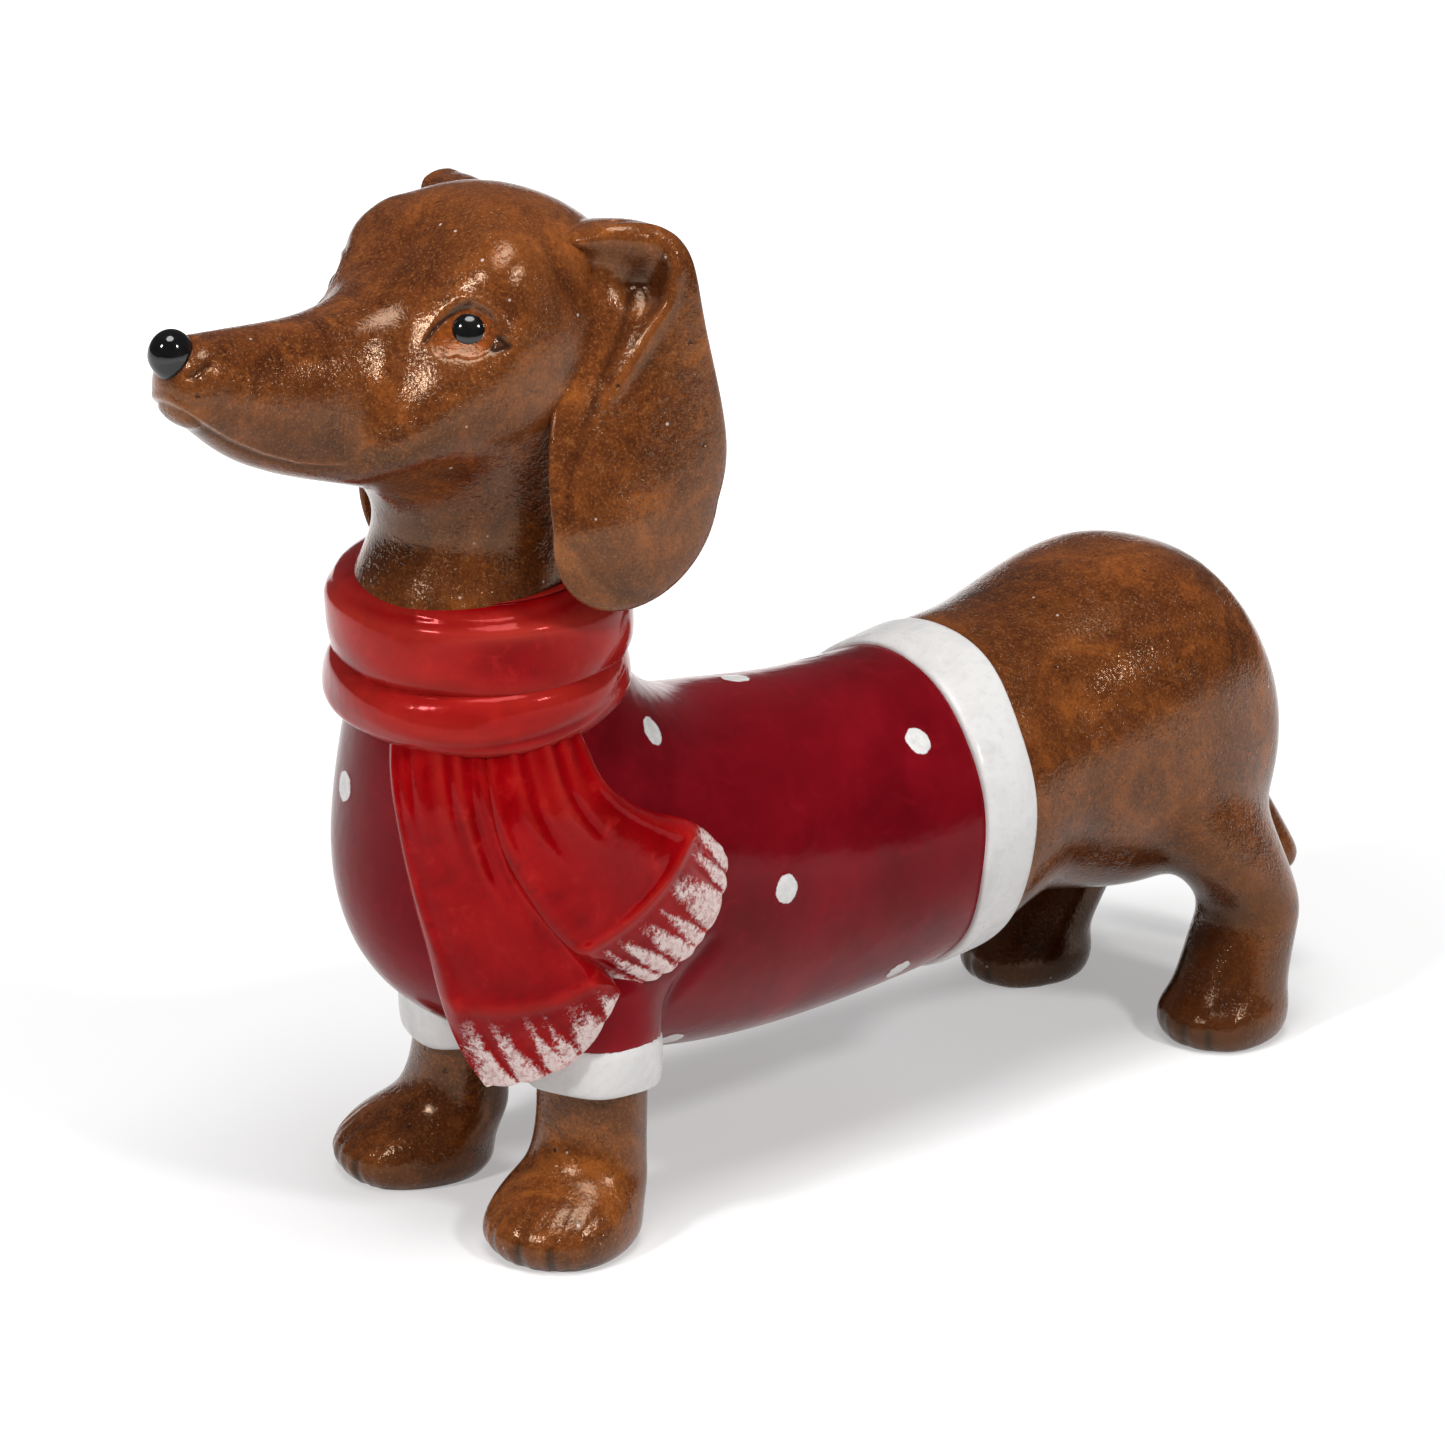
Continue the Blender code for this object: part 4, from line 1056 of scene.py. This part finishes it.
class Finish:
    """A ceramic finish made of nodes, laid out on the piece's own coordinates."""

    def __init__(self, name):
        self.material = bpy.data.materials.new(name)
        self.material.use_nodes = True
        self.tree = self.material.node_tree
        self.shader = self.tree.nodes["Principled BSDF"]
        self.place = self.node("ShaderNodeTexCoord").outputs["Object"]

    def put(self, socket, value):
        """Links a socket to the value where that is a socket too, or else sets it."""
        if isinstance(value, bpy.types.NodeSocket):
            self.tree.links.new(value, socket)
        else:
            socket.default_value = value

    def node(self, kind, inputs=None, **settings):
        node = self.tree.nodes.new(kind)
        for name, value in settings.items():
            setattr(node, name, value)
        for name, value in (inputs or {}).items():
            self.put(node.inputs[name], value)
        return node

    def set(self, **values):
        """Puts values into the shader's sockets, whose spaces are written as underscores."""
        for name, value in values.items():
            self.put(self.shader.inputs[name.replace("_", " ")], value)

    def noise(self, grain, detail=2.0, rough=0.5, warp=0.0):
        """Cloudy noise with spots about grain millimetres apart."""
        inputs = {"Vector": self.place, "Scale": 1 / (grain * MM), "Detail": detail, "Roughness": rough,
                  "Distortion": warp}
        return self.node("ShaderNodeTexNoise", inputs).outputs["Fac"]

    def cells(self, grain, output="Distance"):
        """Cells about grain millimetres wide, each with a random colour."""
        inputs = {"Vector": self.place, "Scale": 1 / (grain * MM)}
        return self.node("ShaderNodeTexVoronoi", inputs).outputs[output]

    def kept(self, name):
        """A value that note() keeps at each point."""
        return self.node("ShaderNodeAttribute", attribute_name=name).outputs["Fac"]

    def spread(self, value, low, high, start=0.0, end=1.0):
        """A soft step from start at low to end at high."""
        inputs = {"Value": value, "From Min": low, "From Max": high, "To Min": start, "To Max": end}
        node = self.node("ShaderNodeMapRange", inputs, interpolation_type="SMOOTHSTEP")
        return node.outputs["Result"]

    def swing(self, noise, start, end):
        """Runs from start to end over the usual range of a noise."""
        return self.spread(noise, 0.3, 0.7, start, end)

    def ramp(self, value, *stops):
        """Colours that run into each other; stops are (value, colour)."""
        node = self.node("ShaderNodeValToRGB", {"Fac": value})
        elements = node.color_ramp.elements
        while len(elements) < len(stops):
            elements.new(0.5)
        for element, (position, colour) in zip(elements, stops):
            element.position = position
            element.color = colour
        return node.outputs["Color"]

    def mix(self, share, first, second):
        """The colour second over first; the indices are those of the Mix node's colour sockets."""
        node = self.node("ShaderNodeMix", data_type="RGBA")
        self.put(node.inputs[0], share)
        self.put(node.inputs[6], first)
        self.put(node.inputs[7], second)
        return node.outputs[2]

    def mottle(self, colour, noise, low, high, share, tint):
        """The colour breaks to tint, by up to share, where the noise runs from low to high."""
        return self.mix(self.spread(noise, low, high, 0.0, share), colour, tint)

    def lay(self, colour, mask, share, tint):
        """The colour takes on tint, by up to share, where the mask is one."""
        return self.mix(self.times(mask, share), colour, tint)

    def maths(self, operation, first, second):
        node = self.node("ShaderNodeMath", operation=operation)
        self.put(node.inputs[0], first)
        self.put(node.inputs[1], second)
        return node.outputs[0]

    def times(self, first, second):
        return self.maths("MULTIPLY", first, second)

    def plus(self, first, second):
        return self.maths("ADD", first, second)

    def minus(self, first, second):
        return self.maths("SUBTRACT", first, second)

    def bump(self, height, depth):
        """A bump whose height of 1 stands depth millimetres out of the surface."""
        inputs = {"Height": height, "Distance": depth * MM}
        return self.node("ShaderNodeBump", inputs).outputs["Normal"]

    def pinholes(self, grain, size, share):
        """Small pits about grain millimetres apart, a share of which is kept."""
        pit = self.spread(self.cells(grain), size, size * 0.5)
        chosen = self.spread(self.cells(grain, "Color"), 1 - share, 1 - share + 0.02)
        return self.times(pit, chosen)


def brown_glaze():
    """Mottled brown that breaks to amber where it is thin and pools nearly black in hollows."""
    finish = Finish("brown_glaze")
    cloud = finish.noise(22, detail=6.0, rough=0.68, warp=1.0)
    patch = finish.noise(6, detail=5.0, rough=0.7, warp=0.8)
    fleck = finish.noise(1.5, detail=4.0, rough=0.75, warp=0.5)
    grain = finish.noise(0.45, detail=2.0, rough=0.7)
    colour = finish.ramp(
        cloud,
        (0.34, srgb(66, 31, 13)),
        (0.46, srgb(94, 48, 22)),
        (0.55, srgb(110, 58, 26)),
        (0.68, srgb(154, 86, 36)),
    )
    colour = finish.mottle(colour, patch, 0.5, 0.7, 0.42, srgb(162, 88, 34))
    colour = finish.mottle(colour, patch, 0.47, 0.3, 0.45, srgb(60, 28, 12))
    colour = finish.mottle(colour, fleck, 0.54, 0.7, 0.4, srgb(150, 90, 46))
    colour = finish.mottle(colour, fleck, 0.47, 0.33, 0.5, srgb(52, 24, 10))
    colour = finish.mottle(colour, grain, 0.53, 0.7, 0.4, srgb(168, 108, 62))
    colour = finish.mottle(colour, grain, 0.46, 0.3, 0.42, srgb(44, 20, 9))
    colour = finish.lay(colour, finish.kept("thin"), 0.4, srgb(158, 90, 42))
    colour = finish.lay(colour, finish.kept("pool"), 0.75, srgb(50, 23, 10))
    iris = finish.mix(finish.swing(fleck, 0.0, 1.0), srgb(98, 45, 15), srgb(156, 76, 26))
    colour = finish.lay(colour, finish.kept("iris"), 0.75, iris)
    colour = finish.lay(colour, finish.kept("rim"), 0.92, srgb(30, 22, 22))
    # Painted shade: the kept line darkens the mouth's groove, the nose's wings, the ear's hollow and
    # creases, and the hind legs low down.
    colour = finish.lay(colour, finish.kept("line"), 0.8, srgb(48, 22, 11))
    # The pale lip line: thin glaze on the edge, and a painted highlight.
    colour = finish.lay(colour, finish.kept("pale"), 0.6, srgb(206, 142, 96))
    colour = finish.mix(finish.kept("slit"), colour, srgb(16, 8, 6))
    pits = finish.pinholes(6.0, size=0.09, share=0.35)
    colour = finish.lay(colour, pits, 0.75, srgb(34, 17, 10))
    bubbles = finish.pinholes(4.2, size=0.08, share=0.4)
    colour = finish.lay(colour, bubbles, 0.7, srgb(226, 210, 200))
    fine_peel = finish.noise(0.7, detail=3.0, rough=0.65)
    peel = finish.plus(fine_peel, finish.times(finish.noise(2.4), 0.9))
    rough_patch = finish.spread(finish.noise(8.0), 0.5, 0.58)
    beads = finish.times(finish.spread(finish.noise(0.6, detail=1.0), 0.55, 0.68), rough_patch)
    skin = finish.minus(finish.plus(peel, finish.times(beads, 0.8)), finish.times(pits, 1.5))
    rough = finish.swing(patch, 0.06, 0.13)
    finish.set(Base_Color=colour, Roughness=rough, Normal=finish.bump(skin, depth=0.08))
    finish.set(Specular_IOR_Level=0.48, Specular_Tint=(1.0, 0.7, 0.48, 1.0))
    return finish.material


def jumper_glaze():
    """Deep wine red with white brush dots."""
    finish = Finish("jumper_glaze")
    cloud = finish.noise(34, detail=4.0, rough=0.6, warp=0.6)
    streak = finish.noise(5, detail=4.0, rough=0.65, warp=1.0)
    colour = finish.ramp(
        cloud,
        (0.34, srgb(96, 5, 15)),
        (0.5, srgb(118, 9, 21)),
        (0.66, srgb(136, 15, 28)),
    )
    colour = finish.mottle(colour, streak, 0.5, 0.75, 0.3, srgb(146, 20, 30))
    colour = finish.lay(colour, finish.kept("pool"), 0.75, srgb(52, 2, 8))
    colour = finish.lay(colour, finish.kept("thin"), 0.4, srgb(166, 34, 40))
    edge = finish.plus(finish.kept("dot"), finish.swing(finish.noise(1.6), -0.12, 0.12))
    dot = finish.spread(edge, DOT_RADIUS + 0.1, DOT_RADIUS - 0.13)
    cover = finish.noise(1.2, detail=3.0, rough=0.6)
    paint = finish.ramp(cover, (0.3, srgb(222, 220, 218)), (0.6, srgb(240, 239, 237)))
    colour = finish.mix(dot, colour, paint)
    pits = finish.pinholes(11.0, size=0.05, share=0.3)
    colour = finish.lay(colour, pits, 0.6, srgb(190, 110, 110))
    skin = finish.minus(finish.noise(5.0), pits)
    rough = finish.swing(streak, 0.14, 0.22)
    finish.set(Base_Color=colour, Roughness=rough, Normal=finish.bump(skin, depth=0.12))
    finish.set(Specular_IOR_Level=0.16, Specular_Tint=(1.0, 0.5, 0.5, 1.0))
    return finish.material


def scarf_glaze():
    """Bright red that breaks to coral on edges; the fringe is dry-brushed with white."""
    finish = Finish("scarf_glaze")
    cloud = finish.noise(15, detail=4.0, rough=0.62, warp=0.5)
    patch = finish.noise(4.0, detail=4.0, rough=0.65, warp=0.4)
    colour = finish.ramp(
        cloud,
        (0.34, srgb(130, 1, 6)),
        (0.5, srgb(150, 3, 10)),
        (0.66, srgb(166, 12, 16)),
    )
    colour = finish.mottle(colour, patch, 0.54, 0.72, 0.45, srgb(186, 34, 30))
    colour = finish.mottle(colour, patch, 0.46, 0.32, 0.5, srgb(120, 1, 5))
    colour = finish.lay(colour, finish.kept("thin"), 0.6, srgb(208, 72, 58))
    colour = finish.lay(colour, finish.kept("pool"), 0.85, srgb(86, 0, 4))
    fringe = finish.kept("fringe")
    strand = finish.kept("strand")
    drag = finish.noise(0.8, detail=4.0, rough=0.75, warp=0.6)
    drag = finish.spread(drag, 0.25, 0.75, -0.3, 0.3)
    smear = finish.swing(finish.noise(5.0), -0.12, 0.12)
    wedge = finish.minus(0.96, finish.times(finish.maths("POWER", strand, 1.2), 0.82))
    brush = finish.minus(finish.plus(fringe, finish.plus(drag, smear)), wedge)
    dry = finish.times(finish.spread(brush, -0.15, 0.35), finish.spread(fringe, 0.04, 0.25))
    brushed = finish.times(dry, finish.spread(drag, -0.25, 0.1, 0.5, 0.92))
    colour = finish.mix(brushed, colour, srgb(246, 230, 225))
    pits = finish.pinholes(9.0, size=0.06, share=0.25)
    colour = finish.lay(colour, pits, 0.6, srgb(236, 170, 160))
    skin = finish.minus(finish.noise(4.0), pits)
    rough = finish.plus(finish.swing(patch, 0.08, 0.16), finish.times(dry, 0.25))
    finish.set(Base_Color=colour, Roughness=rough, Normal=finish.bump(skin, depth=0.12))
    finish.set(Specular_IOR_Level=0.34, Specular_Tint=(1.0, 0.2, 0.2, 1.0))
    return finish.material


def white_glaze():
    """Uneven white, greyer in its hollows."""
    finish = Finish("white_glaze")
    cloud = finish.noise(9, detail=5.0, rough=0.65, warp=0.5)
    grain = finish.noise(1.3, detail=3.0, rough=0.6)
    colour = finish.ramp(
        cloud,
        (0.3, srgb(224, 222, 221)),
        (0.48, srgb(236, 234, 232)),
        (0.7, srgb(242, 240, 238)),
    )
    colour = finish.mottle(colour, grain, 0.52, 0.74, 0.4, srgb(216, 213, 212))
    colour = finish.lay(colour, finish.kept("pool"), 0.5, srgb(176, 166, 162))
    peel = finish.plus(finish.times(grain, 0.6), finish.noise(3.5))
    rough = finish.swing(cloud, 0.2, 0.34)
    skin = finish.bump(peel, depth=0.14)
    finish.set(Base_Color=colour, Roughness=rough, Normal=skin, Specular_IOR_Level=0.3)
    return finish.material


def black_glaze():
    """Shiny black of the eyes and the nose."""
    finish = Finish("black_glaze")
    cloud = finish.noise(2.5, detail=3.0, rough=0.6)
    colour = finish.ramp(cloud, (0.35, srgb(10, 10, 11)), (0.7, srgb(24, 22, 21)))
    rough = finish.swing(cloud, 0.05, 0.12)
    skin = finish.bump(finish.noise(1.6), depth=0.03)
    finish.set(Base_Color=colour, Roughness=rough, Normal=skin, Specular_IOR_Level=0.5)
    return finish.material


# Pieces

def add_piece(name, mesh, finish, slot, *nodes):
    """Adds a glazed piece that replaces the solids' nodes."""
    mesh.name = name
    piece = bpy.data.objects.new(name, mesh)
    bpy.context.scene.collection.objects.link(piece)
    mesh.materials.clear()
    mesh.materials.append(finish)
    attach(piece, "root")
    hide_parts(*nodes)


brown = brown_glaze()
dark_red = jumper_glaze()
red = scarf_glaze()
white = white_glaze()
black = black_glaze()

head = make_head()
pool_glaze(head, rounds=14, depth=0.35)
add_piece("head_casting", head, brown, "brown_glaze", "head")

left_ear = make_ear()
pool_glaze(left_ear, rounds=14, depth=0.4)
right_ear = mirrored(left_ear, "right_ear")
hang_lower(right_ear)
add_piece("left_ear_casting", left_ear, brown, "brown_glaze", "left_ear")
add_piece("right_ear_casting", right_ear, brown, "brown_glaze", "right_ear")

left_eye = make_eye()
right_eye = mirrored(left_eye, "right_eye")
add_piece("left_eye_bead", left_eye, black, "black_glaze", "left_eye")
add_piece("right_eye_bead", right_eye, black, "black_glaze", "right_eye")
add_piece("nose_bead", make_nose(), black, "black_glaze", "nose")

jumper = make_jumper()
make_dots(jumper)
pool_glaze(jumper, rounds=14, depth=0.5)
add_piece("jumper_casting", jumper, dark_red, "jumper_glaze", "jumper")

hem_band = make_hem_band()
pool_glaze(hem_band, rounds=10, depth=0.5)
add_piece("hem_trim", hem_band, white, "white_glaze", "hem_band")
left_cuff = make_cuff()
pool_glaze(left_cuff, rounds=10, depth=0.5)
right_cuff = mirrored(left_cuff, "right_cuff")
move_points(right_cuff, points_of(right_cuff) - (0, 0, RIGHT_CUFF_DROP))
add_piece("left_cuff_trim", left_cuff, white, "white_glaze", "left_cuff")
add_piece("right_cuff_trim", right_cuff, white, "white_glaze", "right_cuff")

left_foreleg = make_foreleg()
pool_glaze(left_foreleg, rounds=12, depth=0.3)
note_slits(left_foreleg, [(FORE_X, FORE_Y, *FORE_SLITS, FORE_TURN, 1)])
right_foreleg = mirrored(left_foreleg, "right_foreleg")
add_piece("left_foreleg_casting", left_foreleg, brown, "brown_glaze", "left_foreleg")
add_piece("right_foreleg_casting", right_foreleg, brown, "brown_glaze", "right_foreleg")

hindquarters = make_hindquarters()
pool_glaze(hindquarters, rounds=14, depth=0.4)
shade_hind_legs(hindquarters)
hind_paws = [(*LEFT_HIND, *HIND_SLITS, HIND_TURN, 1), (*RIGHT_HIND, *HIND_SLITS, HIND_TURN, -1)]
note_slits(hindquarters, hind_paws)
add_piece("hindquarters_casting", hindquarters, brown, "brown_glaze",
          "hindquarters", "left_hind_leg", "right_hind_leg", "tail")

upper_turn = make_upper_turn()
lower_turn = make_lower_turn()
for turn_mesh in (upper_turn, lower_turn):
    pool_glaze(turn_mesh, rounds=14, depth=0.4)
add_piece("scarf_upper_wrap", upper_turn, red, "scarf_glaze", "scarf_upper_turn")
add_piece("scarf_lower_wrap", lower_turn, red, "scarf_glaze", "scarf_lower_turn")

front_end = make_end("scarf_front_end", FRONT_END, FRONT_FOLDS, count=6, phase=0.3, bulge=4.0)
rear_end = make_end("scarf_rear_end", REAR_END, REAR_FOLDS, count=7, phase=0.9, bulge=3.4)
for end_mesh in (front_end, rear_end):
    pool_glaze(end_mesh, rounds=12, depth=0.3)
add_piece("scarf_front_tail", front_end, red, "scarf_glaze", "scarf_front_end")
add_piece("scarf_rear_tail", rear_end, red, "scarf_glaze", "scarf_rear_end")


# Stage, lights and camera, in metres and watts

FLOOR_RADIUS = 6.0
FLOOR_GREY = (0.66, 0.66, 0.66, 1)
SHADOW_REACH = 0.1
WHITE_REACH = 0.45
SHADOW_GLOW = 0.36
LAMPS = [  # name, azimuth, elevation, distance, size and power
    ("left_softbox", 2, 40, 1.3, 0.18, 6.2),
    ("right_softbox", 98, 40, 1.3, 0.18, 5.6),
    ("overhead_softbox", 50, 80, 1.5, 0.8, 16.0),
]
LAMP_TARGET = Vector((0, -0.01, 0.08))
WORLD_STRENGTH = 0.1
CAMERA_TARGET = Vector((0, -0.008, 0.068))
CAMERA_AZIMUTH = 50.4
CAMERA_ELEVATION = 19.9
CAMERA_DISTANCE = 0.932
FOCAL_LENGTH = 149.48  # millimetres, as the sensor
SENSOR_WIDTH = 36.0


def make_floor():
    """White paper: it keeps the shadow near the figurine and runs out into plain white."""
    bm = bmesh.new()
    bmesh.ops.create_circle(bm, cap_ends=True, segments=96, radius=FLOOR_RADIUS)
    floor = bpy.data.objects.new("floor", finished("floor", bm))
    bpy.context.scene.collection.objects.link(floor)
    paper = Finish("white_paper")
    tree = paper.tree
    tree.nodes.remove(paper.shader)
    reach = paper.node("ShaderNodeVectorMath", {0: paper.place}, operation="LENGTH").outputs["Value"]
    path = paper.node("ShaderNodeLightPath").outputs
    seen = paper.plus(path["Is Camera Ray"], path["Is Glossy Ray"])
    seen = paper.maths("MINIMUM", paper.plus(seen, path["Is Transmission Ray"]), 1.0)
    glow = paper.times(paper.spread(reach, SHADOW_REACH, WHITE_REACH, SHADOW_GLOW, 1.0), seen)
    diffuse = paper.node("ShaderNodeBsdfDiffuse", {"Color": FLOOR_GREY}).outputs[0]
    emission = paper.node("ShaderNodeEmission", {"Strength": glow}).outputs[0]
    both = paper.node("ShaderNodeAddShader", {0: diffuse, 1: emission}).outputs[0]
    paper.put(tree.nodes["Material Output"].inputs["Surface"], both)
    floor.data.materials.append(paper.material)


def direction(azimuth, elevation):
    """The way out from the figurine; azimuth is counted from its front towards its left."""
    turn = math.radians(azimuth)
    rise = math.radians(elevation)
    return Vector((math.sin(turn) * math.cos(rise), -math.cos(turn) * math.cos(rise), math.sin(rise)))


def aim(item, target, way, distance):
    """Stands a lamp or a camera off the target, the given way out, and turns it to look back."""
    item.location = target + way * distance
    item.rotation_euler = way.to_track_quat("Z", "Y").to_euler()
    bpy.context.scene.collection.objects.link(item)


def add_lamp(name, azimuth, elevation, distance, size, power):
    light = bpy.data.lights.new(name, "AREA")
    light.shape = "DISK"
    light.size = size
    light.energy = power
    lamp = bpy.data.objects.new(name, light)
    aim(lamp, LAMP_TARGET, direction(azimuth, elevation), distance)


def light_world():
    """A weak white light from all round."""
    world = bpy.data.worlds.new("studio")
    world.use_nodes = True
    background = world.node_tree.nodes["Background"]
    background.inputs["Color"].default_value = (1, 1, 1, 1)
    background.inputs["Strength"].default_value = WORLD_STRENGTH
    bpy.context.scene.world = world


def add_camera():
    """The photograph's viewing angle and frame."""
    lens = bpy.data.cameras.new("camera")
    lens.lens = FOCAL_LENGTH
    lens.sensor_width = SENSOR_WIDTH
    camera = bpy.data.objects.new("camera", lens)
    aim(camera, CAMERA_TARGET, direction(CAMERA_AZIMUTH, CAMERA_ELEVATION), CAMERA_DISTANCE)
    bpy.context.scene.camera = camera


make_floor()
for lamp_values in LAMPS:
    add_lamp(*lamp_values)
light_world()
add_camera()
bpy.context.scene.view_settings.view_transform = "Standard"
